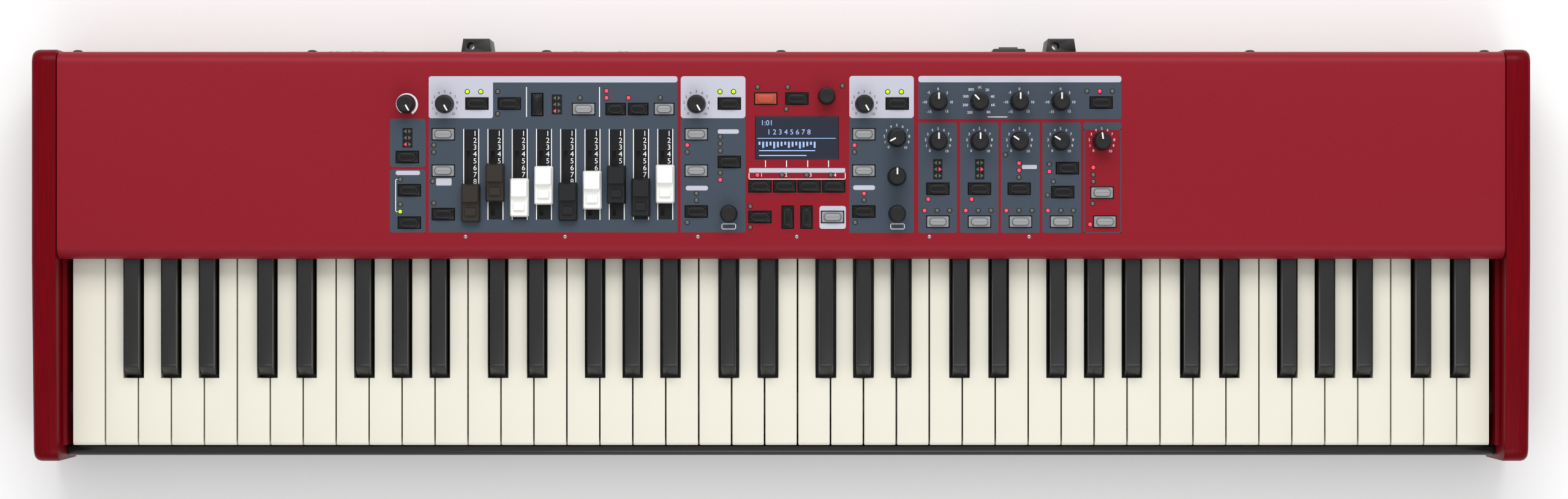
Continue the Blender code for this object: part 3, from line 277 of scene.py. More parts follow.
def sheet_mesh(name, outlines, low, high):
    """A flat mesh between two heights, from outlines in metres, where an outline inside another is a hole."""
    curve = bpy.data.curves.new(name, "CURVE")
    curve.dimensions = "2D"
    curve.fill_mode = "BOTH"
    curve.extrude = (high - low) / 2
    for outline in outlines:
        spline = curve.splines.new("POLY")
        spline.points.add(len(outline) - 1)
        for point, (x, y) in zip(spline.points, outline):
            point.co = (x, y, 0.0, 1.0)
        spline.use_cyclic_u = True
    holder = bpy.data.objects.new(name, curve)
    bpy.context.scene.collection.objects.link(holder)
    mesh = bpy.data.meshes.new_from_object(holder.evaluated_get(bpy.context.evaluated_depsgraph_get()))
    bpy.data.objects.remove(holder)
    mesh.transform(Matrix.Translation((0.0, 0.0, (low + high) / 2)))
    return mesh


def place_mm(across, setback):
    """World X and Y of a place given in millimetres from the middle and the panel's rear edge."""
    return across * MM, PANEL_REAR - setback * MM


def hole_outline(middle, size):
    """Corner points of a button's or a slit's hole."""
    width, depth = size
    x, y = middle
    corners = ((-1, -1), (1, -1), (1, 1), (-1, 1))
    return [(x + sx * width / 2 * MM, y + sy * depth / 2 * MM) for sx, sy in corners]


DARK_BUTTONS = (
    (-264.1, 75.0), (-262.7, 98.5), (-262.7, 121.4), (-214.9, 37.2), (-192.1, 37.2), (-116.9, 41.1),
    (-100.9, 41.1), (-238.7, 115.4), (-36.6, 37.2), (-59.9, 113.5), (-36.6, 78.5), (11.2, 33.7),
    (-14.9, 95.7), (2.5, 95.7), (19.8, 95.7), (37.2, 95.7), (-14.9, 117.4), (82.1, 37.2), (58.5, 113.5),
    (226.2, 36.5), (110.8, 97.4), (140.2, 97.4), (168.3, 97.4), (202.3, 82.9), (199.0, 99.8))
LIGHT_BUTTONS = (
    (-139.5, 41.1), (-82.6, 41.1), (-238.7, 58.9), (-238.7, 84.7), (-59.9, 58.9), (-59.9, 84.7),
    (36.4, 117.4), (58.5, 58.9), (58.5, 84.7), (226.8, 100.2), (110.8, 120.7), (140.2, 120.7),
    (169.2, 120.7), (198.2, 120.7), (228.8, 120.7))
STORE_BUTTON = (-10.8, 33.7)
PAGE_ROCKERS = ((4.7, 117.5), (18.0, 117.5))
VIBRATO_ROCKER = (-172.3, 37.9)
NARROW_BUTTONS = ((-116.9, 41.1), (-100.9, 41.1), (-82.6, 41.1))
NARROW_BY = 2.0
SLIT_SIZE = (2.8, 45.7)
SLIT_FIRST_X, SLIT_PITCH, SLIT_SETBACK = -220.8, 17.14, 93.45
DRAWBAR_COLOURS = "bbwwkwkkw"

open_places = []
for place in (*DARK_BUTTONS, *LIGHT_BUTTONS, STORE_BUTTON):
    width = BUTTON_HOLE[0] - (NARROW_BY if place in NARROW_BUTTONS else 0.0)
    open_places.append((place_mm(*place), (width, BUTTON_HOLE[1])))
for place in (*PAGE_ROCKERS, VIBRATO_ROCKER):
    open_places.append((place_mm(*place), (BUTTON_HOLE[1], BUTTON_HOLE[0])))
for index in range(len(DRAWBAR_COLOURS)):
    open_places.append((place_mm(SLIT_FIRST_X + index * SLIT_PITCH, SLIT_SETBACK), SLIT_SIZE))


def inside(point, outline):
    """Whether a point lies in the box round an outline."""
    xs, ys = zip(*outline)
    return min(xs) < point[0] < max(xs) and min(ys) < point[1] < max(ys)


def print_field(name, outlines, ink, layer):
    """One ink, as thin as a real print would allow, over the enamel."""
    outlines = [[from_photo(*point) for point in outline] for outline in outlines]
    # Each field is cut back round the holes to leave room for the ring of painted shade.
    holes = [hole_outline(middle, [side + 2 * PAINTED_SHADE_RIM for side in size]) for middle, size in open_places
             if any(inside(middle, outline) for outline in outlines)]
    low = PANEL_TOP + INK * (0.5 + layer)
    return link(name, sheet_mesh(name, outlines + holes, low, low + INK), ink, "chassis")


INK_GLOSS = 0.16
slate_ink = moulded("slate_ink", "#3F4955", 0.5, grain_mm=0.9, bump_mm=0.03, mottle=0.05,
                    Specular_IOR_Level=INK_GLOSS)
pale_ink = moulded("pale_ink", "#BBBBC8", 0.5, grain_mm=0.9, bump_mm=0.03, mottle=0.03,
                   Specular_IOR_Level=INK_GLOSS)
white_ink = moulded("white_ink", "#E8E8EA", 0.5, grain_mm=0.9, bump_mm=0.02, mottle=0.02,
                    Specular_IOR_Level=INK_GLOSS)
black_ink = moulded("black_ink", "#17181A", 0.5, grain_mm=0.9, bump_mm=0.02, mottle=0.05,
                    Specular_IOR_Level=INK_GLOSS)
# Painted shade: a thin black ring round every button and drawbar slit stands for the dark well between each
# cap or stem and its hole.
painted_shade_rings = []
for middle, size in open_places:
    rim = [side + 2 * PAINTED_SHADE_RIM for side in size]
    painted_shade_rings += [hole_outline(middle, rim), hole_outline(middle, size)]
link("painted_shade_rings_print", sheet_mesh("painted_shade_rings_print", painted_shade_rings, PANEL_TOP + INK / 2, PANEL_TOP + 3 * INK),
     black_ink, "chassis")

# Each printed box stands as left, top, right, bottom and corner radius, read off the photograph in its
# pixels. Slate fields carry the controls, and pale ones the level knobs, the headers and the store button.

MASTER_BOX = (636.7, 193.9, 694.7, 272.7, 4)
OCTAVE_BOX = (636.7, 276.7, 694.7, 379.6, 4)
ORGAN_BOX = (700, 134.7, 1106.1, 379.6)
PIANO_BOX = (1111.4, 193.1, 1217.1, 379.6)
SAMPLE_BOX = (1386.7, 192.9, 1491.9, 380.3)
TONE_BOX = (1499.4, 134.4, 1830.8, 194.3)
REVERB_HEADER = (1769.4, 200, 1830.8, 211.5, 3)
EFFECT_LEFTS = (1499.4, 1567.4, 1634.4, 1701.9)
EFFECT_WIDTH, EFFECT_TOP, EFFECT_BOTTOM, EFFECT_CORNER = 62.8, 200, 380.3, 3
slate_boxes = [MASTER_BOX, OCTAVE_BOX, ORGAN_BOX, PIANO_BOX, SAMPLE_BOX, TONE_BOX, REVERB_HEADER]
for left in EFFECT_LEFTS:
    slate_boxes.append((left, EFFECT_TOP, left + EFFECT_WIDTH, EFFECT_BOTTOM, EFFECT_CORNER))
print_field("slate_print", [box_outline(*box) for box in slate_boxes], slate_ink, 0)

PIANO_LEVEL_BOX = (1111.4, 124.5, 1217.1, 193.1, 5)
SAMPLE_LEVEL_BOX = (1386.7, 124, 1491.9, 192.9, 5)
TONE_HEADER = (1499.4, 124, 1830.8, 134.4, 4)
PROGRAM_HEADER = (1222.9, 274.6, 1380, 282, 2)
STORE_BOX = (1338, 336.4, 1381, 373.7, 4)
ORGAN_HEADER = (700, 124.5, 1106.1, 134.7, 4)
ORGAN_LEVEL_BOX = (700, 130, 804.9, 193.1, 4)
pale_boxes = (PIANO_LEVEL_BOX, SAMPLE_LEVEL_BOX, TONE_HEADER, PROGRAM_HEADER, STORE_BOX)
print_field("pale_print", [box_outline(*box) for box in pale_boxes], pale_ink, 1)
print_field("organ_header_print", [box_outline(*ORGAN_HEADER)], pale_ink, 1)
print_field("organ_level_print", [box_outline(*ORGAN_LEVEL_BOX)], pale_ink, 2)

LINE_WIDTH = 1.4
THIN_LINE = 1.2


def line(x0, y0, x1, y1, width=LINE_WIDTH):
    """The outline of a printed line along X or Y, in the photograph's pixels."""
    half = width / 2
    return box_outline(min(x0, x1) - half, min(y0, y1) - half, max(x0, x1) + half, max(y0, y1) + half)


def frame_lines(left, top, right, bottom, width=THIN_LINE):
    """A printed box, as its four lines."""
    return [line(left, top, right, top, width), line(left, bottom, right, bottom, width),
            line(left, top, left, bottom, width), line(right, top, right, bottom, width)]


def join_meshes(name, meshes):
    """Many small meshes as one, where what overlaps stays overlapping."""
    joined = bmesh.new()
    for mesh in meshes:
        joined.from_mesh(mesh)
        bpy.data.meshes.remove(mesh)
    mesh = bpy.data.meshes.new(name)
    joined.to_mesh(mesh)
    joined.free()
    return mesh


def print_lines(name, outlines, ink, layer):
    """Lines and small tags in one ink, which may cross each other."""
    low = PANEL_TOP + INK * (0.5 + layer)
    outlines = [[from_photo(*point) for point in outline] for outline in outlines]
    meshes = [sheet_mesh(name, [outline], low, low + INK) for outline in outlines]
    link(name, join_meshes(name, meshes), ink, "chassis")


TRACK_FIRST_LEFT, TRACK_PITCH, TRACK_WIDTH, TRACK_TOP, TRACK_BOTTOM = 757.1, 39.6, 24.5, 211.3, 358.3
track_lefts = [TRACK_FIRST_LEFT + index * TRACK_PITCH for index in range(len(DRAWBAR_COLOURS))]
tracks = [box_outline(left, TRACK_TOP, left + TRACK_WIDTH, TRACK_BOTTOM) for left in track_lefts]
print_field("drawbar_tracks_print", tracks, black_ink, 1)

ORGAN_DIVIDERS = (859.6, 978.8)
ORGAN_DIVIDER_ENDS = (142.9, 190.2)
TONE_UNDERLINE = (1613, 191, 1644, 191)
PROGRAM_TICKS = (1249.8, 1284.2, 1318.7, 1352.7)
PROGRAM_TICK_ENDS = (262.8, 272.2)
PEDAL_BRACKET = ((646, 293, 646, 345.7), (646, 293, 649.5, 293), (646, 345.7, 649.5, 345.7))
PROGRAM_BRACKET = ((1222.9, 283, 1222.9, 292.5), (1380, 283, 1380, 292.5), (1222.9, 292.5, 1380, 292.5))
SAMPLE_LIST_BOX = (1454.2, 365.7, 1476.5, 374)
PIANO_LIST_BOX = (1178.7, 365.7, 1201.0, 374)
white_lines = [line(x, ORGAN_DIVIDER_ENDS[0], x, ORGAN_DIVIDER_ENDS[1]) for x in ORGAN_DIVIDERS]
white_lines.append(line(*TONE_UNDERLINE, THIN_LINE))
for left in track_lefts:
    for x in (left, left + TRACK_WIDTH):
        white_lines.append(line(x, TRACK_TOP, x, TRACK_BOTTOM))
for x in PROGRAM_TICKS:
    white_lines.append(line(x, PROGRAM_TICK_ENDS[0], x, PROGRAM_TICK_ENDS[1]))
for ends in PEDAL_BRACKET + PROGRAM_BRACKET:
    white_lines.append(line(*ends, THIN_LINE))
white_lines += frame_lines(*SAMPLE_LIST_BOX) + frame_lines(*PIANO_LIST_BOX)
print_lines("white_lines_print", white_lines, white_ink, 2.4)

TAG_BOXES = ((1392.8, 302.7, 1428.6, 310.2, 3.5), (1171.8, 211.3, 1206.3, 218.4, 3),
             (1119.6, 303.5, 1155.9, 311, 3.5), (646.1, 278.8, 685.7, 285.9, 3),
             (712, 291.2, 737.3, 303, 2), (1668.6, 269.4, 1692.9, 276, 2))
print_lines("tags_print", [box_outline(*box) for box in TAG_BOXES], pale_ink, 1.2)
LAMP_WINDOW_BOXES = ((657.1, 209, 673.5, 241.2), (900.8, 154.3, 917.6, 186.9), (1523.5, 259.9, 1538.6, 293),
                     (1592, 259.9, 1607, 293))
print_field("lamp_windows_print", [box_outline(*box) for box in LAMP_WINDOW_BOXES], black_ink, 2)
REVERB_BOX = (1770.5, 211.5, 1829.7, 379.6)
print_lines("reverb_frame_print", frame_lines(*REVERB_BOX, LINE_WIDTH), slate_ink, 2)

# Numbers on the dials and beside the drawbars are printed too, white on slate and enamel, black on pale grey.


def text_mesh(words, size_mm):
    """Printed figures, centred on the origin."""
    curve = bpy.data.curves.new("figures", "FONT")
    curve.body = words
    curve.size = size_mm * MM
    curve.align_x = "CENTER"
    curve.align_y = "CENTER"
    curve.resolution_u = 3
    curve.extrude = INK / 2
    holder = bpy.data.objects.new("figures", curve)
    bpy.context.scene.collection.objects.link(holder)
    mesh = bpy.data.meshes.new_from_object(holder.evaluated_get(bpy.context.evaluated_depsgraph_get()))
    bpy.data.objects.remove(holder)
    return mesh


def print_figures(name, entries, ink, layer=2.5):
    """Many figures in one print: each entry is the words, their place in metres and their size."""
    meshes = []
    for words, (x, y), size in entries:
        mesh = text_mesh(words, size)
        mesh.transform(Matrix.Translation((x, y, PANEL_TOP + INK * (1 + layer))))
        meshes.append(mesh)
    link(name, join_meshes(name, meshes), ink, "chassis")


LEVEL_KNOBS = ("organ_level_knob", "piano_level_knob", "sample_level_knob")
AMOUNT_KNOBS = ("attack_knob", "effect_1_knob", "effect_2_knob", "speaker_knob", "delay_knob", "reverb_knob")
GAIN_KNOBS = ("bass_knob", "mid_gain_knob", "treble_knob")
DIAL_SWEEP = 139.0
DIAL_RADIUS = 8.9
WIDE_DIAL_RADIUS = 9.6
FIGURE_SIZE = 2.6
TRACK_FIGURES = 8
TRACK_FIGURE_SIZE = 5.3
TRACK_FIGURE_LEFT, TRACK_FIGURE_TOP, TRACK_FIGURE_PITCH = 18.5, 218.4, 11.2
PROGRAM_FIGURES = (1243.5, 1283.5, 1323.5, 1363.5)
PROGRAM_FIGURES_DOWN = 286.0
PROGRAM_FIGURE_SIZE = 3.6


def dial(node, words, radius_mm=DIAL_RADIUS, size=FIGURE_SIZE):
    """Figures spread over a knob's sweep."""
    low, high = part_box(node)
    middle = Vector(((low[0] + high[0]) / 2, (low[1] + high[1]) / 2))
    entries = []
    for number, word in enumerate(words):
        angle = math.radians(-DIAL_SWEEP + 2 * DIAL_SWEEP * number / (len(words) - 1))
        reach = (radius_mm + 0.35 * (len(word) - 1)) * MM
        entries.append((word, middle + reach * Vector((math.sin(angle), math.cos(angle))), size))
    return entries


zero_to_ten = [str(number) for number in range(11)]
print_figures("level_dials_print", sum((dial(node, zero_to_ten) for node in LEVEL_KNOBS), []), black_ink)
white_dials = sum((dial(node, zero_to_ten) for node in AMOUNT_KNOBS), [])
for node in GAIN_KNOBS:
    white_dials += dial(node, ["-15", "-10", "-5", "0", "5", "10", "15"])
frequencies = ["200", "300", "500", "800", "1K", "2K", "4K", "6K", "8K"]
white_dials += dial("mid_frequency_knob", frequencies, WIDE_DIAL_RADIUS)
for left in track_lefts:
    for number in range(TRACK_FIGURES):
        place = from_photo(left + TRACK_FIGURE_LEFT, TRACK_FIGURE_TOP + TRACK_FIGURE_PITCH * number)
        white_dials.append((str(number + 1), place, TRACK_FIGURE_SIZE))
for number, across in enumerate(PROGRAM_FIGURES):
    white_dials.append((str(number + 1), from_photo(across, PROGRAM_FIGURES_DOWN), PROGRAM_FIGURE_SIZE))
print_figures("white_dials_print", white_dials, white_ink)

# The master level knob stands in a white ring that widens clockwise from its low to its high end.


RING_START, RING_END, RING_INNER = 7.2, 8.3, 6.6


def widening_ring(middle, steps=36):
    """Outline of the ring, round its outer edge and back along its inner one."""
    outer = []
    inner = []
    for step in range(steps + 1):
        angle = math.radians(-150 + 300 * step / steps)
        direction = Vector((math.sin(angle), math.cos(angle)))
        outer.append(middle + direction * (RING_START + (RING_END - RING_START) * step / steps) * MM)
        inner.append(middle + direction * RING_INNER * MM)
    return outer + inner[::-1]


low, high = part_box("master_level_knob")
knob_middle = Vector(((low[0] + high[0]) / 2, (low[1] + high[1]) / 2))
ring = sheet_mesh("master_ring_print", [widening_ring(knob_middle)], PANEL_TOP + INK, PANEL_TOP + 2 * INK)
link("master_ring_print", ring, white_ink, "chassis")

# Buttons are hard rubber caps with an oblong raised middle, which come up through the panel from the board
# below. The board's own solid stays under them and carries its posts, switches and sliders.

circuit_board = moulded("circuit_board", "#20241F", 0.5, grain_mm=1.0, bump_mm=0.02)
soften("control_board", 0, circuit_board)
BUTTON_CAP = (15.2, 7.5)
BUTTON_PILL = (12.2, 5.5)
CAP_PROUD = 0.7
PILL_PROUD = 2.7
CAP_DEPTH = 1.6


def oblong(middle, size, radius_mm, steps=6):
    """A rounded box outline in metres."""
    width, depth = (value / 2 * MM for value in size)
    radius = radius_mm * MM
    points = []
    for sx, sy, start in ((1, -1, -90), (1, 1, 0), (-1, 1, 90), (-1, -1, 180)):
        for step in range(steps + 1):
            angle = math.radians(start + 90 * step / steps)
            points.append((middle[0] + sx * (width - radius) + radius * math.cos(angle),
                           middle[1] + sy * (depth - radius) + radius * math.sin(angle)))
    return points


def loft(joined, outlines):
    """Walls between stacked outlines of as many points, closed on top and below."""
    rings = [[joined.verts.new((x, y, height)) for x, y in outline] for outline, height in outlines]
    for lower, upper in zip(rings, rings[1:]):
        count = len(lower)
        for index in range(count):
            following = (index + 1) % count
            joined.faces.new((lower[index], lower[following], upper[following], upper[index]))
    joined.faces.new(rings[0][::-1])
    joined.faces.new(rings[-1])


def add_button(joined, place, upright=False):
    """One cap: flat skirt with a broken edge, then the domed oblong."""
    middle = place_mm(*place)
    less = NARROW_BY if place in NARROW_BUTTONS else 0.0
    cap = (BUTTON_CAP[0] - less, BUTTON_CAP[1])
    pill = (BUTTON_PILL[0] - less, BUTTON_PILL[1])
    if upright:
        cap, pill = cap[::-1], pill[::-1]

    def layer(size, inset, radius, rise):
        return oblong(middle, (size[0] - 2 * inset, size[1] - 2 * inset), radius), PANEL_TOP + rise * MM

    end_radius = min(pill) / 2 - 0.05
    loft(joined, [layer(cap, 0.0, 0.5, -CAP_DEPTH), layer(cap, 0.0, 0.5, CAP_PROUD - 0.25),
                  layer(cap, 0.25, 0.4, CAP_PROUD)])
    loft(joined, [layer(pill, -0.25, end_radius, CAP_PROUD - 0.1),
                  layer(pill, 0.0, end_radius, CAP_PROUD + 0.35),
                  layer(pill, 0.1, end_radius - 0.1, PILL_PROUD - 0.5),
                  layer(pill, 0.35, end_radius - 0.3, PILL_PROUD - 0.12),
                  layer(pill, 0.8, end_radius - 0.7, PILL_PROUD)])


def button_piece(name, places, material, upright=False):
    """All buttons of one colour as a single piece."""
    joined = bmesh.new()
    for place in places:
        add_button(joined, place, upright)
    mesh = bpy.data.meshes.new(name)
    joined.to_mesh(mesh)
    joined.free()
    mesh.shade_smooth()
    mesh.set_sharp_from_angle(angle=math.radians(40))
    link(name, mesh, material, "chassis")


black_button_rubber = moulded("black_button_rubber", "#0C0C0E", 0.32, grain_mm=0.4, bump_mm=0.008,
                              Specular_IOR_Level=0.3)
grey_button_rubber = moulded("grey_button_rubber", "#8E9093", 0.45, grain_mm=0.4, bump_mm=0.008)
orange_button_rubber = moulded("orange_button_rubber", "#B04024", 0.45, grain_mm=0.4, bump_mm=0.008)
button_piece("dark_buttons", DARK_BUTTONS, black_button_rubber)
button_piece("light_buttons", LIGHT_BUTTONS, grey_button_rubber)
button_piece("page_rockers", PAGE_ROCKERS, black_button_rubber, upright=True)
soften("store_button", 0.25, orange_button_rubber)
soften("vibrato_rocker", 0.25, black_button_rubber)

# Knobs are moulded over a splined shaft: a fluted black skirt that tapers to a flat top, with a white pointer
# pressed into it. The three encoders have the same form without a pointer.

KNOB_FLUTES = 18
FLUTE_DEPTH = 0.16
POINTER_WIDTH = 1.0
KNOB_SIZE = (6.7, 5.3, 13.95)
ENCODER_SIZE = (6.2, 5.1, 11.95)


def knob_mesh(name, base, top, height, flutes=KNOB_FLUTES, around=4):
    """A turned cap whose side has shallow flutes, closed at the top by a slight dish."""
    sides = flutes * around
    profile = [(base - 0.5, 0.6), (base, 0.9), (base, 1.5), (base - 0.3, 2.4), (top + 0.45, height - 0.9),
               (top + 0.1, height - 0.25), (top - 0.5, height), (top - 1.4, height - 0.12),
               (0.6, height - 0.3)]
    joined = bmesh.new()
    rings = []
    for level, (radius, rise) in enumerate(profile):
        ring_points = []
        for side in range(sides):
            angle = 2 * math.pi * side / sides
            flute = FLUTE_DEPTH if 3 <= level <= 5 and side % around == 0 else 0.0
            reach = (radius - flute) * MM
            ring_points.append((reach * math.cos(angle), reach * math.sin(angle)))
        rings.append((ring_points, rise * MM))
    loft(joined, rings)
    mesh = bpy.data.meshes.new(name)
    joined.to_mesh(mesh)
    joined.free()
    mesh.shade_smooth()
    mesh.set_sharp_from_angle(angle=math.radians(50))
    return mesh


def pointer_mesh(name, top, height):
    """A thin bar that runs out over the top and down the first of the side."""
    profile = [(0.2 * top, height - 0.28), (top - 1.4, height - 0.05), (top - 0.45, height + 0.02),
               (top + 0.2, height - 0.22), (top + 0.62, height - 1.6), (top + 0.4, height - 1.6),
               (top - 0.2, height - 0.5), (0.2 * top, height - 0.6)]
    joined = bmesh.new()
    sides = []
    for across in (-POINTER_WIDTH / 2, POINTER_WIDTH / 2):
        sides.append([joined.verts.new((across * MM, out * MM, rise * MM)) for out, rise in profile])
    count = len(profile)
    for index in range(count):
        following = (index + 1) % count
        joined.faces.new((sides[0][index], sides[0][following], sides[1][following], sides[1][index]))
    joined.faces.new(sides[0][::-1])
    joined.faces.new(sides[1])
    bmesh.ops.recalc_face_normals(joined, faces=joined.faces)
    mesh = bpy.data.meshes.new(name)
    joined.to_mesh(mesh)
    joined.free()
    return mesh


knob_plastic = moulded("black_knob_plastic", "#161618", 0.46, grain_mm=0.3, bump_mm=0.01,
                       Specular_IOR_Level=0.3)
pointer_plastic = moulded("white_pointer_plastic", "#F4F4F4", 0.4, grain_mm=0.4, bump_mm=0.004, mottle=0.01)
for joint in frame["joints"]:
    node = joint["child"]
    if not node.endswith(("_knob", "_encoder")):
        continue
    low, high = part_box(node)
    centre = Vector(((low[0] + high[0]) / 2, (low[1] + high[1]) / 2, PANEL_TOP))
    is_knob = node.endswith("_knob")
    base, top, height = KNOB_SIZE if is_knob else ENCODER_SIZE
    cap = link(node + "_cap", knob_mesh(node + "_cap", base, top, height), knob_plastic, node)
    cap.location = centre
    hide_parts(node)
    if is_knob:
        range_low, range_high = joint["range_deg"]
        middle_of_sweep = math.radians((range_low + range_high) / 2)
        mesh = pointer_mesh(node + "_pointer", top, height)
        pointer = link(node + "_pointer", mesh, pointer_plastic, node)
        pointer.location = centre
        pointer.rotation_euler = (0.0, 0.0, middle_of_sweep)

# Drawbars are moulded caps on slider stems, in brown, white and black. Each has a flat plateau for the thumb,
# and in front of a scoop a narrower pad that a finger pulls on.

DRAWBAR_PLATEAU = (0.05, 0.49)
DRAWBAR_PAD = (0.62, 0.84)
PLATEAU_WIDTH = 11.6
PAD_WIDTH = 8.4
CAP_LIFT = 1.2
SKIRT_RISE = 4.6
PAD_RISE = 6.4
STEM = (15.4, 22.1)
STEM_WIDTH = 2.2
STEM_OFFSET = -1.8


def drawbar_mesh(name, low, high):
    """Skirt, plateau, pad and stem, with the origin in the middle of the rear edge at the panel's height."""
    width, length, height = ((high[0] - low[0]) / MM, (high[1] - low[1]) / MM, (high[2] - PANEL_TOP) / MM)
    shoulder = CAP_LIFT + SKIRT_RISE

    def layer(start, end, across, inset, radius, rise):
        size = (across - 2 * inset, end - start - 2 * inset)
        return oblong((0.0, -(start + end) / 2 * MM), size, radius), rise * MM

    joined = bmesh.new()
    loft(joined, [layer(0.0, length, width, 0.0, 1.4, CAP_LIFT),
                  layer(0.0, length, width, 0.0, 1.4, CAP_LIFT + 1.6),
                  layer(0.0, length, width, 0.8, 1.0, shoulder - 0.4),
                  layer(0.0, length, width, 1.1, 0.8, shoulder)])
    start, end = (share * length for share in DRAWBAR_PLATEAU)
    loft(joined, [layer(start, end, PLATEAU_WIDTH, 0.0, 0.7, shoulder - 0.8),
                  layer(start, end, PLATEAU_WIDTH, 0.3, 0.6, height - 0.25),
                  layer(start, end, PLATEAU_WIDTH, 0.55, 0.4, height)])
    start, end = (share * length for share in DRAWBAR_PAD)
    loft(joined, [layer(start, end, PAD_WIDTH, 0.0, 0.7, shoulder - 0.8),
                  layer(start, end, PAD_WIDTH, 0.25, 0.6, CAP_LIFT + PAD_RISE - 0.25),
                  layer(start, end, PAD_WIDTH, 0.5, 0.4, CAP_LIFT + PAD_RISE)])
    stem_middle = (STEM_OFFSET * MM, -(STEM[0] + STEM[1]) / 2 * MM)
    stem = oblong(stem_middle, (STEM_WIDTH, STEM[1] - STEM[0]), 0.2)
    loft(joined, [(stem, low[2] - PANEL_TOP), (stem, CAP_LIFT * MM)])
    mesh = bpy.data.meshes.new(name)
    joined.to_mesh(mesh)
    joined.free()
    mesh.shade_smooth()
    mesh.set_sharp_from_angle(angle=math.radians(35))
    return mesh


white_drawbar_abs = moulded("white_drawbar_abs", "#EDEDEA", 0.32, grain_mm=0.5, bump_mm=0.003, mottle=0.01)
brown_drawbar_abs = moulded("brown_drawbar_abs", "#2C2621", 0.4, grain_mm=0.4, bump_mm=0.008,
                            Specular_IOR_Level=0.3)
black_drawbar_abs = moulded("black_drawbar_abs", "#18191B", 0.4, grain_mm=0.4, bump_mm=0.008,
                            Specular_IOR_Level=0.3)
drawbar_finishes = {"b": brown_drawbar_abs, "w": white_drawbar_abs, "k": black_drawbar_abs}
for number, colour in enumerate(DRAWBAR_COLOURS):
    node = f"drawbar_{number + 1}"
    low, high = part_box(node)
    cap = link(node + "_cap", drawbar_mesh(node + "_cap", low, high), drawbar_finishes[colour], node)
    cap.location = ((low[0] + high[0]) / 2, high[1], PANEL_TOP)
    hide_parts(node)

# Indicator lamps are 3 mm light-emitting diodes with a domed lens, each in a dark surround on the panel.
# Their places are read off the photograph in its pixels.

LAMPS_OFF = (
    (653.5, 293.1), (653.5, 333.9), (812.7, 149.8), (812.7, 186.1), (946.9, 160), (1078, 160), (708.2, 237.1),
    (708.2, 248.6), (706.5, 296.3), (708.2, 331.8), (1122, 248.6), (1137.1, 315.9), (1137.1, 327.3),
    (1122, 363.3), (1175.9, 223.7), (1175.9, 235.1), (1175.9, 246.5), (1175.9, 282.4), (1237, 142.4),
    (1286.1, 142.4), (1283.8, 178.3), (1375.3, 140.5), (1276.7, 285.9), (1316.8, 285.9), (1356.4, 285.9),
    (1224.8, 337.3), (1224.8, 371.3), (1395.1, 248.6), (1410.7, 326.9), (1396.1, 363.3), (1774.6, 149),
    (1816.1, 149), (1530.1, 343.9), (1550.4, 343.9), (1597.1, 343.9), (1617.9, 343.9), (1641.5, 252.8),
    (1663.7, 289.7), (1663.7, 343.9), (1684.9, 343.9), (1713.2, 268.4), (1719.8, 296.7), (1710.4, 318.9),
    (1732.1, 343.9), (1752.4, 343.9), (1785, 285.4), (1785, 296.7), (1784, 332.6))
LAMPS_RED = (
    (990.2, 148.6), (990.2, 160), (1026.1, 160), (1122, 237.1), (1175.9, 293.9), (1236.6, 285.9),
    (1395.1, 237.3), (1410.7, 316.1), (1795.4, 149), (1515.5, 325.5), (1586.3, 325.5), (1509.4, 343.9),
    (1576.8, 343.9), (1663.7, 266.5), (1663.7, 278.3), (1642.9, 343.9), (1713.2, 280.2), (1710.9, 343.9),
    (1785, 273.6), (1779.8, 366.6))
LAMPS_GREEN = ((653.5, 345.7), (762.9, 149.8), (784.9, 149.8), (1175.5, 149.8), (1197.6, 149.8),
               (1449.4, 150), (1471.6, 150))
LAMP_RADIUS = 1.4
LAMP_SURROUND = 1.9
LAMP_PROFILE = ((1.0, 0.1), (0.95, 0.3), (0.75, 0.48), (0.4, 0.6), (0.05, 0.63))


def lamp_piece(name, places, radius, profile, material, sides=16):
    """Small turned forms on the panel, one at each place, as a single piece."""
    joined = bmesh.new()
    for across, down in places:
        x, y = from_photo(across, down)
        rings = []
        for share, rise in profile:
            angles = [2 * math.pi * side / sides for side in range(sides)]
            reach = radius * share * MM
            points = [(x + reach * math.cos(angle), y + reach * math.sin(angle)) for angle in angles]
            rings.append((points, PANEL_TOP + rise * MM))
        loft(joined, rings)
    mesh = bpy.data.meshes.new(name)
    joined.to_mesh(mesh)
    joined.free()
    mesh.shade_smooth()
    mesh.set_sharp_from_angle(angle=math.radians(60))
    link(name, mesh, material, "chassis")


clear_lens = moulded("unlit_lamp_lens", "#5C5A54", 0.25, grain_mm=0.8, bump_mm=0.002)
red_lens = moulded("lit_red_lens", "#F2405A", 0.3, grain_mm=0.8, bump_mm=0.002,
                   Emission_Color=linear("#FF3050"), Emission_Strength=0.35)
green_lens = moulded("lit_green_lens", "#B4E020", 0.3, grain_mm=0.8, bump_mm=0.002,
                     Emission_Color=linear("#B0F020"), Emission_Strength=0.3)
SURROUND_PROFILE = ((1.0, 0.02), (1.0, 0.12), (0.9, 0.16), (0.7, 0.16))
all_lamps = LAMPS_OFF + LAMPS_RED + LAMPS_GREEN
lamp_piece("lamp_surrounds", all_lamps, LAMP_SURROUND, SURROUND_PROFILE, black_button_rubber)
lamp_piece("unlit_lamps", LAMPS_OFF, LAMP_RADIUS, LAMP_PROFILE, clear_lens)
lamp_piece("red_lamps", LAMPS_RED, LAMP_RADIUS, LAMP_PROFILE, red_lens)
lamp_piece("green_lamps", LAMPS_GREEN, LAMP_RADIUS, LAMP_PROFILE, green_lens)

# The four dark windows show pairs of small arrows. Each has its middle, in the photograph's pixels, and the
# row and the side of the arrow that is lit.

